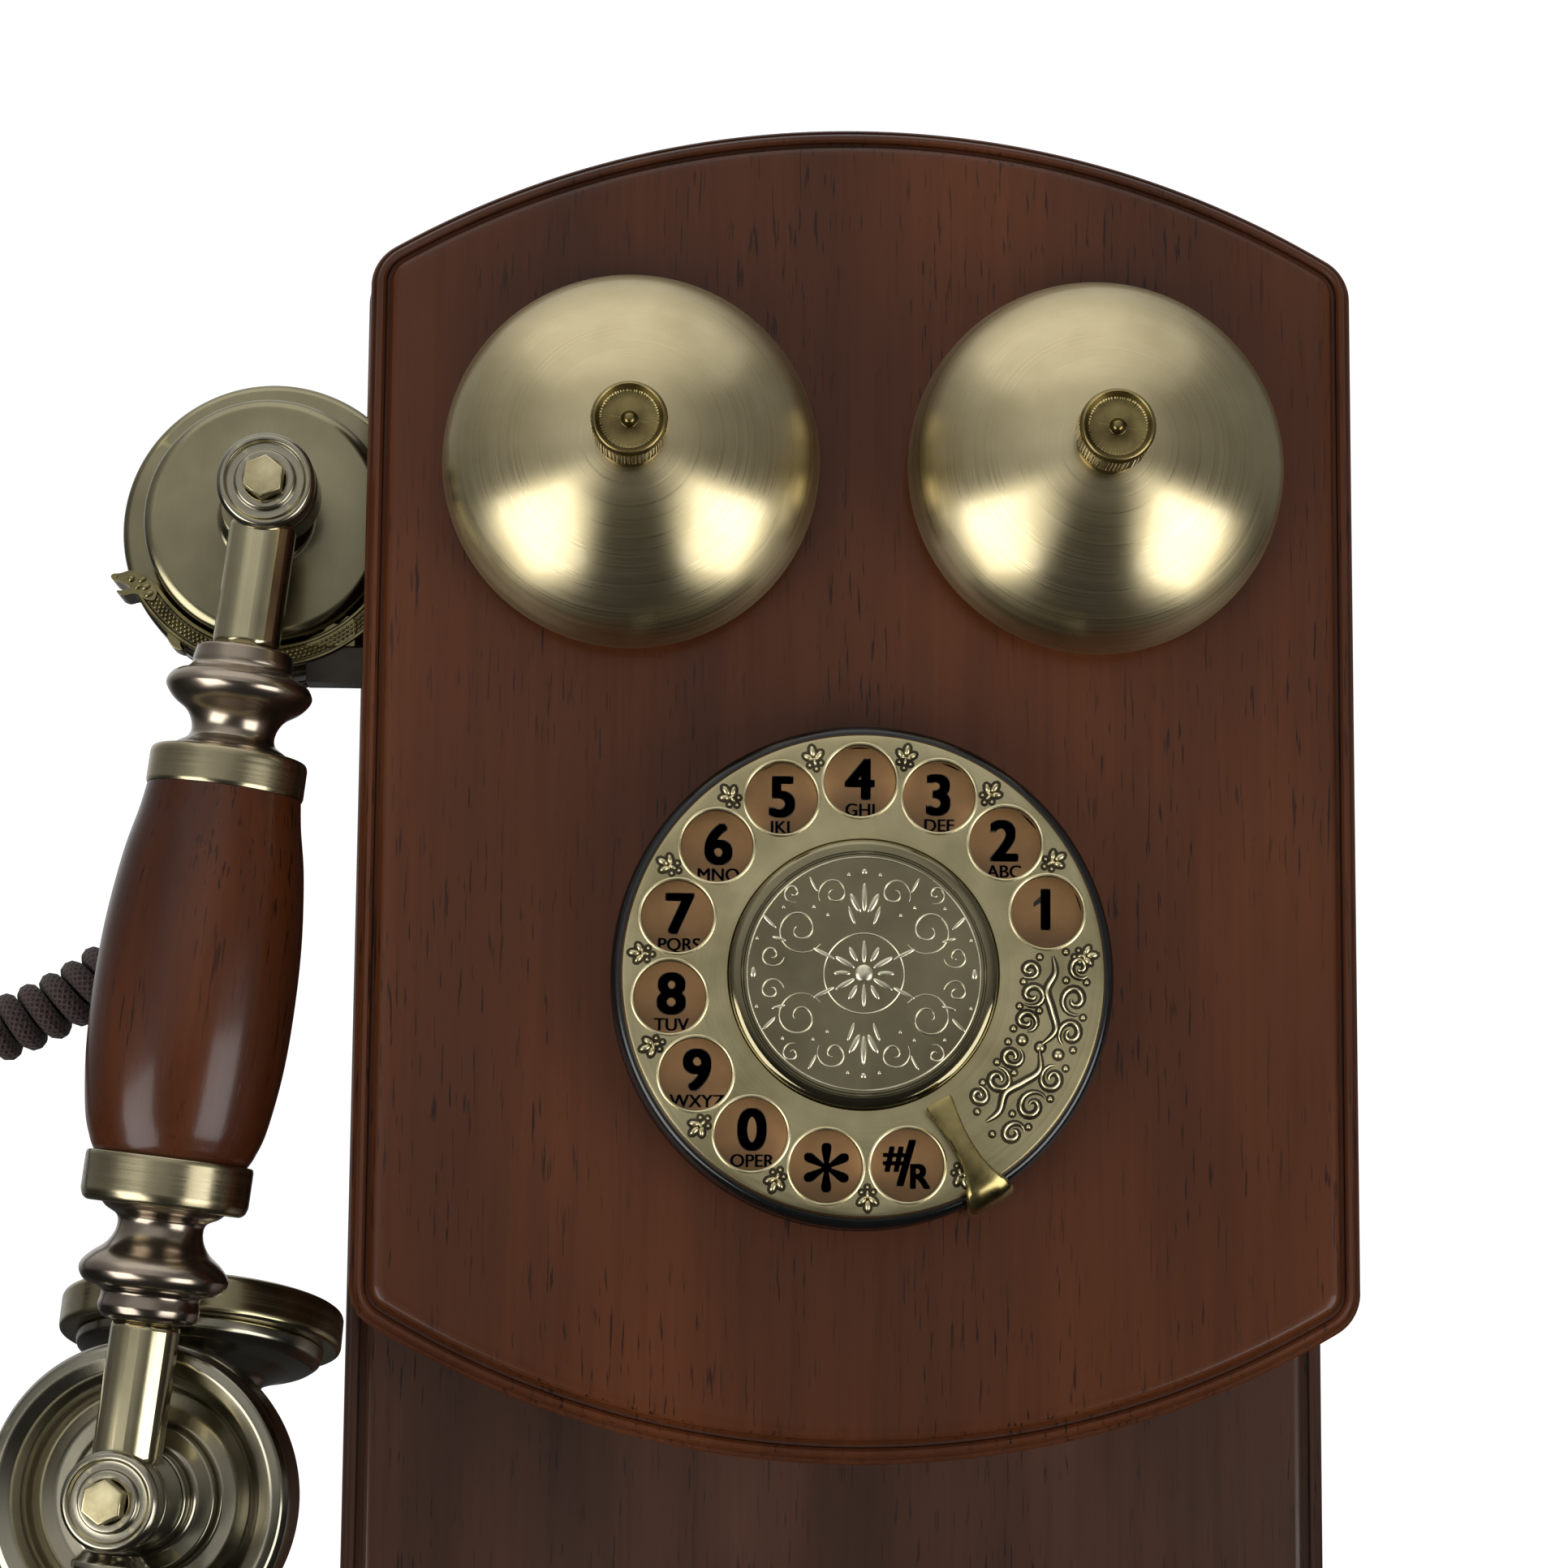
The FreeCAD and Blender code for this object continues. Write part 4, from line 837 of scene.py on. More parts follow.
def wheel_relief():
    """Flowers between the holes, scrollwork in the blank part, and a dark sheet of painted shade
    under them.
    """
    # The second mesh is a dark sheet of painted shade, a little larger than the relief above it.
    bright, painted_shade = bmesh.new(), bmesh.new()
    between = [HOLE_FIRST + HOLE_STEP / 2 - HOLE_STEP * number for number in range(1, HOLES)]
    for angle in between + [HOLE_FIRST + 14, HOLE_FIRST - HOLE_STEP * 11 - 13]:
        flower(bright, angle, 0.42)
        flower(painted_shade, angle, 0.05, 0.42)

    def line(path, side, wide, height, painted_shade_wide, painted_shade_height):
        bent = [bent_scroll(*spot, side) for spot in path]
        ribbon(bright, bent, wide, height, WHEEL_FACE)
        ribbon(painted_shade, bent, painted_shade_wide, painted_shade_height, WHEEL_FACE)

    def dot(across, out, side, size, height, painted_shade_size, painted_shade_height, sides):
        spot = bent_scroll(across, out, side)
        dome(bright, *spot, size, size, 0, height, WHEEL_FACE, sides)
        dome(painted_shade, *spot, painted_shade_size, painted_shade_size, 0, painted_shade_height, WHEEL_FACE, sides)

    stem = curved([(0.4, 0), (3.4, 1.5), (6.4, 0.2), (9.6, -1.1), (12.6, 0.2), (15.4, 0.0)])
    for side in (-1, 1):
        for curl in WHEEL_CURLS:
            line(spiral(*curl), side, 0.52, 0.3, 1.5, 0.06)
        line(stem, side, 0.7, 0.42, 1.7, 0.07)
        for across, out in WHEEL_DOTS:
            dot(across, out, side, 0.42, 0.42, 0.75, 0.05, 10)
    for out in (-3.2, 0.0, 3.2):
        dot(0, out, 1, 0.7, 0.5, 1.1, 0.06, 14)
    piece("wheel_relief", bright, "dial", "relief_brass", "dial_brass", "finger_wheel")
    # Dark sheet of painted shade under the relief.
    piece("wheel_relief_painted_shade", painted_shade, "dial", "painted_shade_brass", "dial_brass", "finger_wheel")


# Curls and leaves of one quarter of the disc; a leaf is (x, z, half width, half length, lean).
DISC_CURLS = [(10.6, 7.2, 4.2, 0.7, 215, 540), (15.2, 2.9, 2.1, 0.4, 190, 440),
              (5.0, 13.2, 2.7, 0.5, 330, 470), (11.8, 13.2, 1.7, 0.3, 250, 420)]
DISC_LEAVES = [(6.6, 3.2, 0.35, 2.0, -1.1), (15.6, 8.4, 0.315, 1.6, -0.8),
               (8.4, 14.6, 0.28, 1.4, -0.5), (2.1, 9.6, 0.35, 1.6, -0.35),
               (14.0, 5.6, 0.28, 1.2, -1.3)]


def centre_disc():
    """Polished centre disc with an engraved circle, and the ornament on it."""
    disc = lathe([(0, DISC_FACE), (19.7, DISC_FACE), (19.85, -107.05), (20.15, -107.05),
                  (20.3, DISC_FACE), (21.2, -107.15), (21.9, -106.8), (22.25, -106.3),
                  (22.3, -105), (0, -105)], segments=160)
    piece("centre_disc_polished", disc, "dial", "disc_brass", "dial_brass", "centre_disc")
    lines = bmesh.new()
    for side in (-1, 1):
        for level in (-1, 1):
            quarter_scrolls(lines, side, level)
    rosette(lines)
    for level in (-1, 1):
        for across, up, tall, lean in ((0, 12.6, 2.4, 0), (1.5, 11.6, 1.8, 0.5),
                                       (-1.5, 11.6, 1.8, -0.5)):
            dome(lines, across, level * up, 0.55, tall, -level * lean, 0.28, DISC_FACE, 12)
        dome(lines, 0, level * 16.8, 0.5, 0.5, 0, 0.25, DISC_FACE, 10)
        dome(lines, level * 18.2, 0, 0.5, 0.9, 0, 0.25, DISC_FACE, 10)
    piece("centre_ornament", lines, "dial", "line_brass", "dial_brass", "centre_disc")


def quarter_scrolls(lines, side, level):
    """Scrolls, leaves and dots in one quarter of the centre disc."""
    for curl in DISC_CURLS:
        path = [(side * across, level * up) for across, up in spiral(*curl, 34)]
        ribbon(lines, path, 0.38, 0.16, DISC_FACE)
    for across, up, wide, tall, lean in DISC_LEAVES:
        dome(lines, side * across, level * up, wide, tall, side * level * lean, 0.18,
             DISC_FACE, 12)
    for across, up in ((8.3, 10.9), (13.3, 10.8), (17.6, 5.6), (2.6, 16.3), (6.0, 9.6)):
        dome(lines, side * across, level * up, 0.3, 0.3, 0, 0.18, DISC_FACE, 10)


def rosette(lines):
    """Petals and rings about the middle of the centre disc."""
    for petal in range(12):
        turn = TAU * petal / 12
        tall = 1.38 if petal % 2 else 1.86
        dome(lines, -3.6 * sin(turn), 3.6 * cos(turn), 0.45, tall, turn, 0.2, DISC_FACE, 12)
    dome(lines, 0, 0, 1.5, 1.5, 0, 0.45, DISC_FACE, 20)
    for radius, step, height in ((6.6, 6, 0.15), (19.2, 4, 0.12)):
        ribbon(lines, [clock(radius, angle) for angle in range(0, 361, step)], 0.3, height,
               DISC_FACE, 1.0)


# Finger stop from its tip to its foot: (radius, depth, half width, thickness).
STOP_STATIONS = [(24.2, -109.5, 2.3, 1.2), (25.0, -109.7, 2.35, 1.3), (27.5, -109.7, 1.9, 1.3),
                 (31.0, -109.7, 1.55, 1.3), (35.0, -109.7, 1.7, 1.3), (38.0, -109.5, 2.4, 1.4),
                 (40.2, -109.0, 3.3, 1.5), (41.9, -107.8, 3.9, 1.6), (43.0, -106.0, 4.1, 1.6),
                 (43.4, -103.5, 4.1, 1.5), (43.4, -96.0, 3.9, 1.4), (43.4, -92.0, 3.9, 1.4)]
# Its section, in shares of the half width and the thickness.
STOP_SECTION = [(-1, 1), (-1, 0.25), (-0.86, 0.0), (-0.4, -0.12), (0.4, -0.12), (0.86, 0.0),
                (1, 0.25), (1, 1)]


def finger_stop():
    """Waisted strip over the wheel, bent down over its edge to the panel."""
    line = curved(STOP_STATIONS, 5)
    rows = []
    for index, (radius, depth, half, thick) in enumerate(line):
        before, after = line[max(index - 1, 0)], line[min(index + 1, len(line) - 1)]
        way = Vector((after[0] - before[0], after[1] - before[1])).normalized()
        rows.append([(across * half, depth + way.x * sink * thick, radius - way.y * sink * thick)
                     for across, sink in STOP_SECTION])
    piece("finger_stop_bent", closed(rows), "case", "stop_brass", "dial_brass", "finger_stop",
          place=Matrix.Rotation(radians(STOP_ANGLE), 4, "Y"))


# ---- handset

GRIP = [(12.9, -30), (13.9, -28), (15.3, -23.5), (16.6, -14), (17, -4), (16.7, 8), (15.4, 20),
        (13.8, 28), (13.1, 32.6)]
FERRULE_UP = [(12.8, 32.5), (13.2, 32.6), (13.4, 33.2), (13.4, 38.2), (13.1, 39.0), (12.3, 39.4),
              (9, 39.4)]
FERRULE_DOWN = [(12.8, -30), (13.9, -30), (14.1, -30.6), (14.1, -36.6), (13.7, -37.8),
                (12.9, -38.4), (9, -38.4)]
NECK_UP = [(10.2, 39.3), (9.4, 40.2), (7.6, 41.4), (7.1, 42.8), (7.5, 44.6), (8.6, 46.2),
           (10.6, 47.6), (11.9, 49.0), (12.5, 50.4), (11.9, 51.8), (10.9, 52.6), (9.6, 53.0)]
NECK_UP_TOP = [(9.6, 53.0), (8.9, 53.6), (8.5, 54.2), (8.6, 55.0), (8.2, 57.3), (7.2, 57.6),
               (0, 57.6)]
NECK_DOWN = [(10.4, -38.3), (9.4, -39.2), (7.6, -40.2), (7.2, -41.6), (7.6, -43.4),
             (8.8, -45.2), (10.8, -46.8), (12.2, -48.4), (12.5, -49.8), (11.8, -51.2),
             (10.6, -52.0), (9.0, -52.3)]
NECK_DOWN_END = [(9.0, -52.3), (8.2, -52.9), (8.3, -54.0), (8.6, -55.2), (8.2, -56.5),
                 (7.2, -57.4), (0, -57.4)]
BOSS = [(0, -7.0), (3.6, -7.0), (3.6, -7.7), (4.9, -7.7), (5.2, -7.4), (5.2, -6.7), (6.6, -6.7),
        (7.0, -7.1), (7.7, -7.1), (8.4, -6.3), (8.4, -3.4), (8.0, -3.0), (8.0, -1.6),
        (8.4, -1.2), (8.4, 7.4), (7.2, 8.4), (0, 8.4)]
CUP = [(0, 8.4), (7, 8.4), (7, 17.2), (8.4, 18.5), (11.0, 18.7), (20.3, 19.3), (21.6, 20.0),
       (22.0, 21.4), (22, 29.4), (25.9, 29.9), (26.7, 30.5), (27, 31.4), (27, 36.2), (26.6, 37),
       (24.6, 37), (24.6, 31.8), (19.8, 31.4), (19.8, 23), (0, 22)]
EAR_CAP = [(8, 37.3), (26.6, 37.3), (27, 37.7), (27, 38.9), (26.4, 40.2), (25, 41.6),
           (21, 42.4), (16, 43), (11, 42.5), (8, 41.4), (8, 37.3)]
DRUM = [(0, 8.4), (8.6, 8.4), (8.9, 9.2), (8.9, 11.6), (9.6, 12.2), (12.4, 12.2), (12.8, 12.8),
        (12.8, 13.8), (13.4, 14.4), (16.0, 14.4), (18.4, 13.6), (19.3, 12.2), (19.6, 9.8),
        (20.0, 9.0), (21.6, 7.6), (24.0, 6.7), (25.6, 7.1), (26.5, 8.6), (26.6, 10.4),
        (26.6, 15.6), (25.9, 17.4), (24, 19), (17, 20.2), (10, 20.5), (0, 20.5)]
HORN = [(0, -24), (7.6, -24), (8.4, -23.2), (8.6, -19), (8.9, -13.6), (9.9, -9.2),
        (12.4, -6.2), (16.4, -4.4), (20, -3.4), (21.6, -2.2), (22, 0), (20.4, 0),
        (18.6, -1.8), (14.4, -3.4), (10.4, -5.8), (7.8, -10.4), (6.6, -16), (6.2, -20), (0, -20)]
HORN_STEM = [(0, 20.0), (9.4, 20.0), (9.4, 21.6), (8.4, 22.4), (8.4, 35), (7.6, 36), (0, 36)]
FLANGE = [(17, 0), (24.2, 0), (24.8, 0.3), (25, 0.9), (25, 5.9), (24.7, 6.6), (23.9, 7.1),
          (22.6, 7.4), (21.5, 7.1), (21.5, 2.2), (17, 2), (17, 0)]
STRAIN = [(0, -95.6), (4.8, -95.6), (5.4, -96.4), (6.5, -97.4), (6.6, -98.4), (6.1, -99.0),
          (6.5, -99.6), (6.6, -103.6), (6.4, -108.8), (6.1, -109.8), (5.0, -110)]
CUP_ACROSS = -2.3
CUP_UP = 84.4
MOUTH_SPOT = {"across": 4.4, "back": 41.5, "up": -61.0}
MOUTH_LEAN = -3.5
MOUTH_PITCH = 76.0


def turned(name, profile, body, look, slot, *nodes, place=None, axis="Y", ease=0.3, segments=96):
    """A turned piece with eased corners."""
    piece(name, lathe(eased(profile, ease), axis, segments), body, look, slot, *nodes,
          place=place)


def bronze(name, profile, node, place, look="handset_bronze", **settings):
    """A turned brass or bronze piece of the handset."""
    turned(name, profile, "handset", look, "handset_bronze", node, place=place, **settings)


def prism(sides, half, low, high, axis="Z", crown=0.0):
    """Bar with flat sides between two stations, its first end slightly crowned."""
    radius = half / cos(pi / sides)
    turns = [(TAU * index + pi) / sides for index in range(sides)]
    return closed([[standing(size * cos(turn), size * sin(turn), station, axis)
                    for turn in turns]
                   for size, station in ((radius * (1 - crown), low),
                                         (radius, low + crown * radius * 0.5),
                                         (radius, high))])


def grip_and_necks():
    """Wooden grip, brass ferrules, and the turned necks of both arms."""
    piece("grip_turned", lathe(curved(GRIP, 8), "Z"), "handset", "grip_wood", "grip_wood",
          "handset_grip", place=hand())
    for way, profile in (("up", FERRULE_UP), ("down", FERRULE_DOWN)):
        bronze("ferrule_%s_turned" % way, profile, "handset_ferrule_" + way, hand(),
               "ferrule_brass", axis="Z", ease=0.4)
    arm("receiver", NECK_UP, NECK_UP_TOP, 57.4, 80.0, BOLT_UP, False)
    arm("transmitter", NECK_DOWN, NECK_DOWN_END, -81.0, -57.2, BOLT_DOWN, True)


def arm(name, waist, end, low, high, bolt, twisted):
    """Turned neck, eight-sided bar, boss and bolt of one end of the handset."""
    node = name + "_arm"
    spot, bolt_spot = hand(twisted=twisted), hand(up=bolt, twisted=twisted)
    neck = curved(waist, 5) + eased(end, 0.4)[1:]
    piece(name + "_neck", lathe(neck, "Z"), "handset", "neck_bronze", "handset_bronze", node,
          place=spot)
    piece(name + "_bar", prism(8, 5.7, low, high), "handset", "bar_brass", "handset_bronze",
          node, place=spot, bevel=1.5)
    bronze(name + "_boss", BOSS, node, bolt_spot)
    piece(name + "_bolt", prism(6, 3.3, -10.8, -7.6, "Y", 0.12), "handset", "relief_brass",
          "handset_bronze", "handset_bolts", place=bolt_spot, bevel=0.2)


def receiver():
    """Receiver cup, and its cap."""
    spot = hand(across=CUP_ACROSS, up=CUP_UP)
    bronze("receiver_cup", CUP, "receiver_cup_shell", spot, "cup_bronze", ease=0.6, segments=160)
    turned("receiver_cap", EAR_CAP, "handset", "black_plastic", "black_plastic",
           "receiver_cup_cap", place=spot, ease=0.4, segments=128)


def transmitter():
    """Transmitter drum, the horn behind it, and the mouthpiece on the horn."""
    drum = hand(up=BOLT_DOWN, twisted=True)
    mouth = hand(**MOUTH_SPOT, turn=Matrix.Rotation(radians(MOUTH_LEAN), 4, "Y")
                 @ Matrix.Rotation(radians(MOUTH_PITCH), 4, "X"))
    bronze("transmitter_drum_turned", DRUM, "transmitter_drum", drum, ease=0.5, segments=160)
    bronze("horn_bowl", HORN, "mouthpiece_horn", mouth, ease=0.6, segments=128)
    bronze("horn_stem", HORN_STEM, "mouthpiece_horn", drum, ease=0.35)
    bronze("mouth_flange", FLANGE, "mouthpiece_flange", mouth, "flange_brass", segments=160)
    grille = bmesh.new()
    holes = []
    for ring, count in ((3.4, 6), (7.0, 12), (10.6, 18), (14.2, 24)):
        for x, _, z in circle(ring, 0, count=count):
            holes.append([circle(0.9, depth, (x, z), 14) for depth in (4.6, 2.4)])
    pierced(grille, [circle(radius, depth, count=96) for radius, depth in
                     ((20.2, 4.6), (20.8, 4.1), (20.9, 2.4))], holes)
    piece("mouth_grille", grille, "handset", "black_plastic", "black_plastic",
          "mouthpiece_grille", place=mouth)
    bronze("strain_relief_boot", STRAIN, "strain_relief", hand(twisted=True), axis="Z",
           segments=64)


# ---- cradle

CRADLE = (-104.4, 83.3)
BAND_START = 211
BAND_SWEEP = 114
BAND_INNER = 22.6
BAND_OUTER = 26.6
BAND_FRONT = -62.6
BAND_BACK = -54.4
BAND_MIDDLE = (BAND_INNER + BAND_OUTER) / 2
BAND_SECTION = [(BAND_INNER, BAND_FRONT + 0.2), (BAND_INNER + 0.25, BAND_FRONT),
                (BAND_INNER + 0.6, BAND_FRONT), (BAND_INNER + 0.85, BAND_FRONT + 0.5),
                (BAND_OUTER - 0.85, BAND_FRONT + 0.5), (BAND_OUTER - 0.6, BAND_FRONT),
                (BAND_OUTER - 0.25, BAND_FRONT), (BAND_OUTER, BAND_FRONT + 0.25),
                (BAND_OUTER, BAND_FRONT + 0.9), (BAND_OUTER - 0.4, BAND_FRONT + 1.3),
                (BAND_OUTER - 0.4, BAND_BACK - 1.2), (BAND_OUTER, BAND_BACK - 0.8),
                (BAND_OUTER, BAND_BACK), (BAND_INNER, BAND_BACK)]
HEAD_SCALE = 0.7
HEAD_OUTLINE = [(-6.2, 1.2), (-8.6, 2.0), (-9.4, 2.9), (-8.9, 3.7), (-7.0, 3.9), (-4.8, 4.6),
                (-2.6, 4.2), (-0.4, 3.4), (1.4, 1.4), (2.4, -0.6), (1.6, -3.0), (-0.6, -2.6),
                (-2.0, -1.6), (-3.8, -1.4), (-5.8, -1.9), (-7.4, -1.4), (-7.8, -0.6),
                (-6.4, -0.5), (-4.4, 0.2)]
# Domes on the head: (x, z, half width, half height, rise).
HEAD_BUMPS = [(-4.2, 2.4, 0.68, 0.6, 0.5), (-8.0, 3.0, 0.28, 0.24, 0.2),
              (-1.4, 2.2, 0.8, 0.48, 0.35), (-0.4, 0.4, 0.88, 0.56, 0.35),
              (0.4, -1.4, 0.88, 0.56, 0.3), (-2.4, 0.4, 0.72, 0.44, 0.3)]
SPUR = [(2.2, 0.2), (-1.0, 1.2), (-1.4, -0.4), (-0.4, -2.0), (1.4, -2.6), (0.9, -1.2),
        (2.4, -0.6), (2.2, 0.2)]
FOOT = [(-97.0, 60.6), (-88.2, 60.6), (-88.2, 65.6), (-90.0, 66.6), (-91.6, 65.0),
        (-93.4, 65.4), (-94.2, 63.6), (-97.0, 62.2)]


def on_ring(radius, angle, depth=0.0):
    """Point about the middle of the cradle's band."""
    return Vector((CRADLE[0] + radius * cos(angle), depth, CRADLE[1] + radius * sin(angle)))


def cradle_part(name, shape, bevel=0.0):
    """Piece of the cradle, which rises with the hook."""
    piece(name, shape, "hook", "cradle_brass", "cradle_brass", "cradle_band", bevel=bevel)


def cradle_cut(name, x, z, outline, front, back, bevel):
    """Flat piece of the cradle, its outline about a point."""
    shape = bmesh.new()
    slab(shape, [(x + across, z + up) for across, up in outline], front, back)
    cradle_part(name, shape, bevel)


def cradle():
    """Scaled band under the receiver, with a serpent's head, a spur and a foot."""
    angles = [radians(BAND_START + BAND_SWEEP * step / 80) for step in range(81)]
    cradle_part("cradle_band_rimmed",
                closed([[on_ring(radius, angle, depth) for radius, depth in BAND_SECTION]
                        for angle in angles]))
    scales()
    serpent_head()
    root = on_ring(26.3, radians(233))
    cradle_cut("cradle_spur", root.x, root.z, curved(SPUR, 3)[:-1], BAND_FRONT + 0.6,
               BAND_BACK - 1.6, 0.3)
    cradle_cut("cradle_foot", 0, 0, FOOT, BAND_FRONT + 0.3, BAND_BACK, 0.3)


def scales():
    """Rows of scales on the front and the outside of the band."""
    shape = bmesh.new()
    for step in range(108):
        angle = radians(BAND_START + 1 + (BAND_SWEEP - 2) * step / 107)
        for row in (-1, 0, 1):
            if (step + row) % 2 == 0:
                spot = on_ring(BAND_MIDDLE + 0.62 * row, angle)
                dome(shape, spot.x, spot.z, 0.55, 0.42, angle + pi / 2, 0.42, BAND_FRONT + 0.5, 4)
        for depth in (2.6, 4.2, 5.8):
            stud(shape, on_ring(BAND_OUTER - 0.4, angle, BAND_FRONT + depth), angle, 0.62, 0.38)
    cradle_part("cradle_scales", shape)


def serpent_head():
    """Head at the start of the band, with low domes for its eye, nostril and scales."""
    shape = bmesh.new()
    root = on_ring(BAND_MIDDLE, radians(BAND_START))
    x, z = root.x + 0.2, root.z
    outline = curved(HEAD_OUTLINE + [HEAD_OUTLINE[0]], 3)[:-1]
    front = BAND_FRONT - 0.2
    slab(shape, [(x + HEAD_SCALE * across, z + HEAD_SCALE * up) for across, up in outline],
         front, BAND_BACK + 0.6)
    for across, up, wide, tall, high in HEAD_BUMPS:
        dome(shape, x + HEAD_SCALE * across, z + HEAD_SCALE * up, wide, tall, 0.5, high, front)
    cradle_part("cradle_head", shape, 0.45)


def stud(shape, spot, angle, size, height):
    """Four-sided scale on the outside of the band."""
    out = Vector((cos(angle), 0, sin(angle)))
    along = Vector((-sin(angle), 0, cos(angle))) * size
    across = Vector((0, size, 0))
    ring = [shape.verts.new(spot + step) for step in (along, across, -along, -across)]
    bridge(shape, ring, [shape.verts.new(spot + out * height)])
    shape.faces.new(ring)


# ---- cord

GLAND_SPOT = (-70, -26, 104)
GLAND_TURN = 220.5
GLAND_END = (-79.09, -26.0, 93.35)
CORD_ROUTE = [(-97.26, -26, 72.07), (-116, -28, 48), (-119.5, -30, 20), (-139.5, -32, -1),
              (-176, -34, -14), (-203, -42, -50), (-208, -50, -95), (-206, -58, -141.8),
              (-183, -68, -163.9), (-153, -78, -163.9), (-128.5, -84, -141.6)]
CORD_FINISH = (-124.82, -84.0, -110.2)


def cord_line():
    """Points of the cord's centre line, read from its NURBS spline, in millimetres."""
    route = bpy.data.curves.new("CordRoute", "CURVE")
    route.dimensions = "3D"
    route.resolution_u = 24
    spline = route.splines.new("NURBS")
    points = [GLAND_END] + CORD_ROUTE + [CORD_FINISH]
    spline.points.add(len(points) - 1)
    for cell, spot in zip(spline.points, points):
        cell.co = (*spot, 1.0)
    spline.order_u = 3
    spline.use_endpoint_u = True
    holder = bpy.data.objects.new("CordRoute", route)
    mesh = bpy.data.meshes.new_from_object(holder)
    line = [vertex.co.copy() for vertex in mesh.vertices]
    bpy.data.objects.remove(holder)
    return line


def even(line, step):
    """The line again with evenly spaced points, and its length."""
    lengths = [0.0]
    for before, after in zip(line, line[1:]):
        lengths.append(lengths[-1] + (after - before).length)
    total = lengths[-1]
    count = ceil(total / step)
    spots, cell = [], 0
    for index in range(count + 1):
        target = total * index / count
        while cell < len(line) - 2 and lengths[cell + 1] < target:
            cell += 1
        share = (target - lengths[cell]) / max(lengths[cell + 1] - lengths[cell], 1e-9)
        spots.append(line[cell].lerp(line[cell + 1], min(max(share, 0), 1)))
    return spots, total


def axes(line):
    """Direction of a line at each point, with two more at right angles to it."""
    side = Vector((0, 1, 0))
    for index in range(len(line)):
        way = line[min(index + 1, len(line) - 1)] - line[max(index - 1, 0)]
        reach, way = way.length, way.normalized()
        side = (side - way * side.dot(way)).normalized()
        yield reach, side, way.cross(side)


def helix(line, total):
    """Centre line of the wire that winds round the cord's own line."""
    random.seed(7)
    wire = []
    wander = [random.uniform(-1, 1) for _ in range(12)]
    for index, (spot, (_, side, other)) in enumerate(zip(line, axes(line))):
        share = index / (len(line) - 1)
        cell = share * 10.99
        drift = wander[int(cell)] * (1 - cell % 1) + wander[int(cell) + 1] * (cell % 1)
        turn = TAU * (share * total / CORD_PITCH + 0.18 * drift)
        ease = min(1.0, share * total / 5, (1 - share) * total / 5)
        radius = (CORD_THICK - WIRE_THICK) / 2 * sin(pi / 2 * ease)
        wire.append(spot + (side * cos(turn) + other * sin(turn)) * radius)
    return wire


def wire_tube(wire, around=10):
    """Round tube along a wire, its texture in millimetres along and turns around."""
    shape = bmesh.new()
    weave = shape.loops.layers.uv.new("UVMap")
    rows, along = [], [0.0]
    for spot, (reach, side, other) in zip(wire, axes(wire)):
        along.append(along[-1] + reach / 2)
        turns = [TAU * cell / around for cell in range(around)]
        rows.append([shape.verts.new(spot + (side * cos(turn) + other * sin(turn))
                                     * WIRE_THICK / 2) for turn in turns])
    for index, (low, high) in enumerate(zip(rows, rows[1:])):
        for cell in range(around):
            after = (cell + 1) % around
            face = shape.faces.new((low[cell], low[after], high[after], high[cell]))
            for loop, (u, v) in zip(face.loops, ((0, 0), (0, 1), (1, 1), (1, 0))):
                loop[weave].uv = (along[index + u], (cell + v) / around)
    shape.faces.new(rows[0])
    shape.faces.new(rows[-1])
    return shape


def cord():
    """Curled cord from the gland to the strain relief."""
    line, total = even(cord_line(), CORD_PITCH / 22)
    made = piece("curled_cord", wire_tube(helix(line, total)), None, "cord_fabric",
                 "cord_fabric", "handset_cord")
    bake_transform(made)


def gland():
    """Ribbed boot where the cord leaves the case."""
    ribs = [(0, -11.6), (7.9, -11.6), (7.9, 1.5)]
    for step in range(5):
        wide, up = 7.9 - 0.34 * step, 2.3 * step
        ribs += [(wide, up + 2.4), (wide - 0.9, up + 2.8), (wide - 0.9, up + 3.7),
                 (wide - 0.34, up + 4.1)]
    turned("gland_boot", ribs + [(6.1, 14), (2.6, 14)], "case", "black_plastic",
           "black_plastic", "cord_gland", axis="Z", segments=64,
           place=Matrix.Translation(GLAND_SPOT)
           @ Matrix.Rotation(radians(GLAND_TURN), 4, "Y"))


# ---- rest of the object

def carried_over():
    """Materials of the CAD parts that keep their shape."""
    dress(["case_left_side", "case_right_side", "case_top", "case_bottom"], "case_wood")
    dress(["hook_lever"], "dark_bronze")
    dress(["hanger_plates", "hook_pin", "hook_bracket", "ringer_shaft",
           "ringer_armature", "ringer_cores", "ringer_frame", "hammer_bracket", "hammer_arm",
           "dial_plate", "dial_bridge", "dial_shaft", "bell_posts", "handset_rod"], "steel")
    dress(["hammer_heads", "dial_pillars", "main_gear", "governor_rotor", "governor_housing",
           "spring_barrel"], "hammer_brass")
    dress(["pulse_cam", "pulse_contacts", "hook_switch", "switch_plunger", "line_jack",
           "circuit_standoffs", "receiver_capsule"], "black_plastic")
    dress(["ringer_coils"], "copper_coil")
    dress(["circuit_board"], "circuit")


# ---- scene

CAMERA_SPOT = (-0.0316, -0.7257, -0.0505)
CAMERA_RIGHT = (0.9995, -0.0305, 0.0084)
CAMERA_UP = (-0.0123, -0.1306, 0.9914)
CAMERA_LENS = 86.75
LAMP_AIM = (-0.01, -0.09, 0.02)
FLOOR_HALF = 3000.0
FLOOR_LEVEL = -900.0
# Brightness of the room in reflections, from below to above and from left to right.
ROOM_UPWARDS = [(0.0, 0.03), (0.42, 0.05), (0.5, 0.4), (0.6, 0.68), (1.0, 0.74)]
ROOM_ACROSS = [(0.0, 0.3), (0.12, 0.5), (0.24, 1.05), (0.55, 1.0), (0.7, 0.6), (0.8, 0.3),
               (1.0, 0.3)]


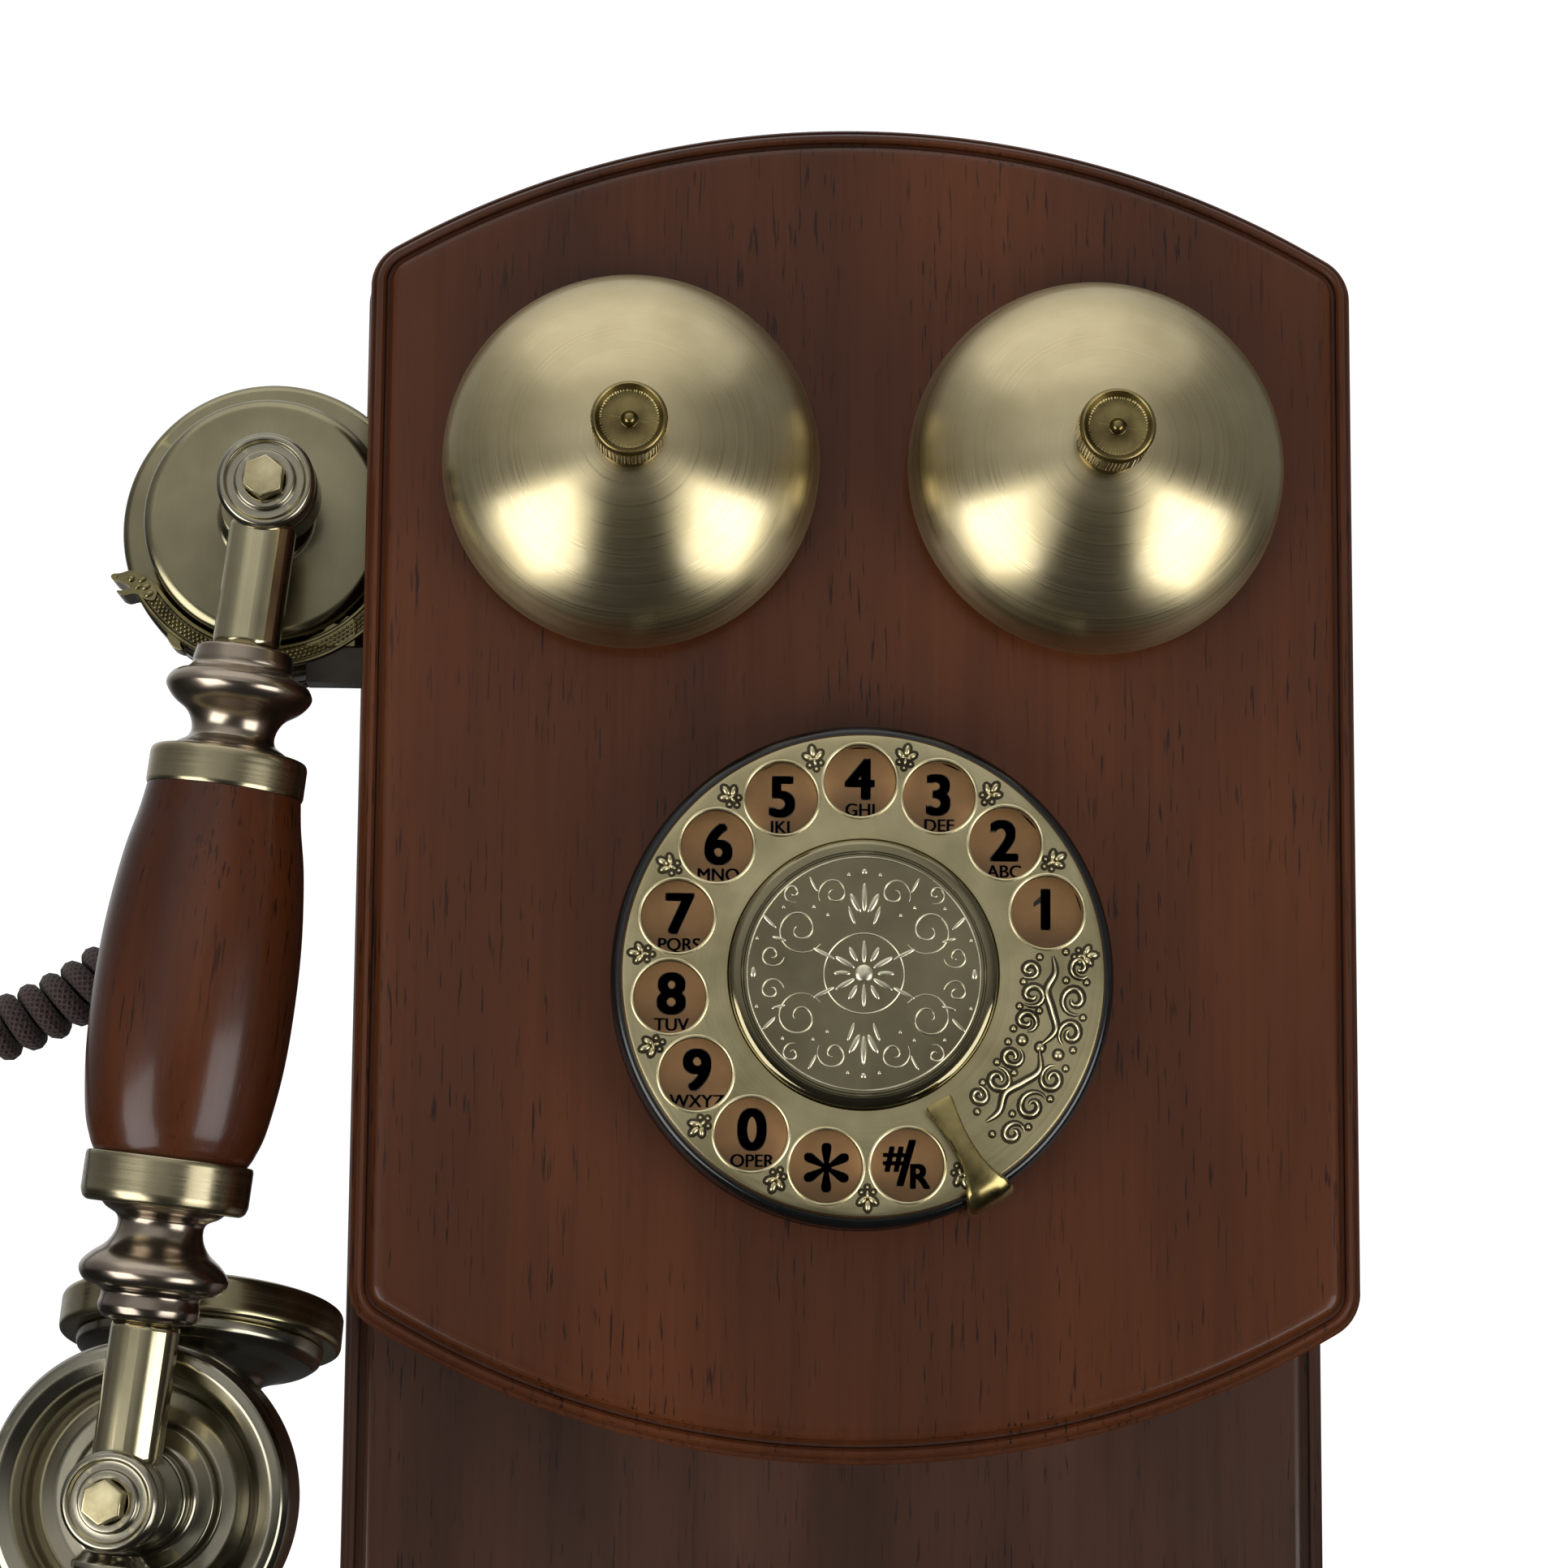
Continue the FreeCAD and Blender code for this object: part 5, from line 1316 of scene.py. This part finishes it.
def camera():
    """Camera a little below the dial, looking slightly up."""
    lens = bpy.data.cameras.new("Camera")
    lens.lens = CAMERA_LENS
    lens.sensor_width = 36.0
    lens.clip_start = 0.01
    right = Vector(CAMERA_RIGHT).normalized()
    up = Vector(CAMERA_UP)
    up = (up - right * up.dot(right)).normalized()
    turn = Matrix((right, up, right.cross(up))).transposed().to_4x4()
    bpy.context.scene.camera = show("Camera", lens, Matrix.Translation(CAMERA_SPOT) @ turn)


def lamp(name, spot, wide, tall, power):
    """Soft rectangular light aimed at the middle of the telephone."""
    light = bpy.data.lights.new(name, "AREA")
    light.shape = "RECTANGLE"
    light.size = wide
    light.size_y = tall
    light.energy = power
    way = (Vector(LAMP_AIM) - Vector(spot)).normalized()
    show(name, light, Matrix.Translation(spot)
         @ way.to_track_quat("-Z", "Y").to_matrix().to_4x4())


def floor():
    """Pale floor far below, which does not show in reflections."""
    shape = bmesh.new()
    corners = ((-1, -1), (1, -1), (1, 1), (-1, 1))
    cap(shape, [[shape.verts.new((FLOOR_HALF * x, FLOOR_HALF * y, FLOOR_LEVEL))
                 for x, y in corners]])
    made = show("Floor", mesh_of("Floor", shape,
                                 smooth_plastic("FloorPale", (236, 236, 234), 0.6, 0.0)))
    made.visible_glossy = False


def surroundings():
    """White behind the telephone; reflections see a room, bright left of the middle."""
    world = bpy.data.worlds.new("Studio")
    world.use_nodes = True
    bpy.context.scene.world = world
    sky = Nodes(world.node_tree)
    seen = sky.feed(sky.nodes["Background"], Color=grey(1.0), Strength=1.15)
    split = sky.split(sky.add("TexCoord").outputs["Generated"])
    spans = []
    for axis, stops in (("Z", ROOM_UPWARDS), ("X", ROOM_ACROSS)):
        span = sky.feed(sky.add("MapRange"), Value=split[axis], From_Min=-1.0)
        spans.append(sky.ramp(span.outputs["Result"], stops))
    around = sky.feed(sky.add("Background"), Color=sky.mix("MULTIPLY", 1.0, *spans))
    choose = sky.add("MixShader")
    sky.plug(choose.inputs[0], sky.add("LightPath").outputs["Is Camera Ray"])
    sky.plug(choose.inputs[1], around.outputs[0])
    sky.plug(choose.inputs[2], seen.outputs[0])
    sky.feed(sky.nodes["World Output"], Surface=choose.outputs[0])


def studio():
    """Floor, surroundings and soft lights."""
    floor()
    bpy.context.scene.view_settings.view_transform = "Standard"
    surroundings()
    lamp("Top", (0.0, -0.7, 1.4), 2.4, 1.0, 4)
    for side, name in ((-1, "LowLeft"), (1, "LowRight")):
        lamp(name, (side, -0.95, -0.6), 0.95, 0.95, 13)


front_panel()
back_board()
bells()
base_ring()
number_card()
finger_wheel()
hole_rims()
wheel_relief()
centre_disc()
finger_stop()
grip_and_necks()
receiver()
transmitter()
cradle()
cord()
gland()
carried_over()
camera()
studio()
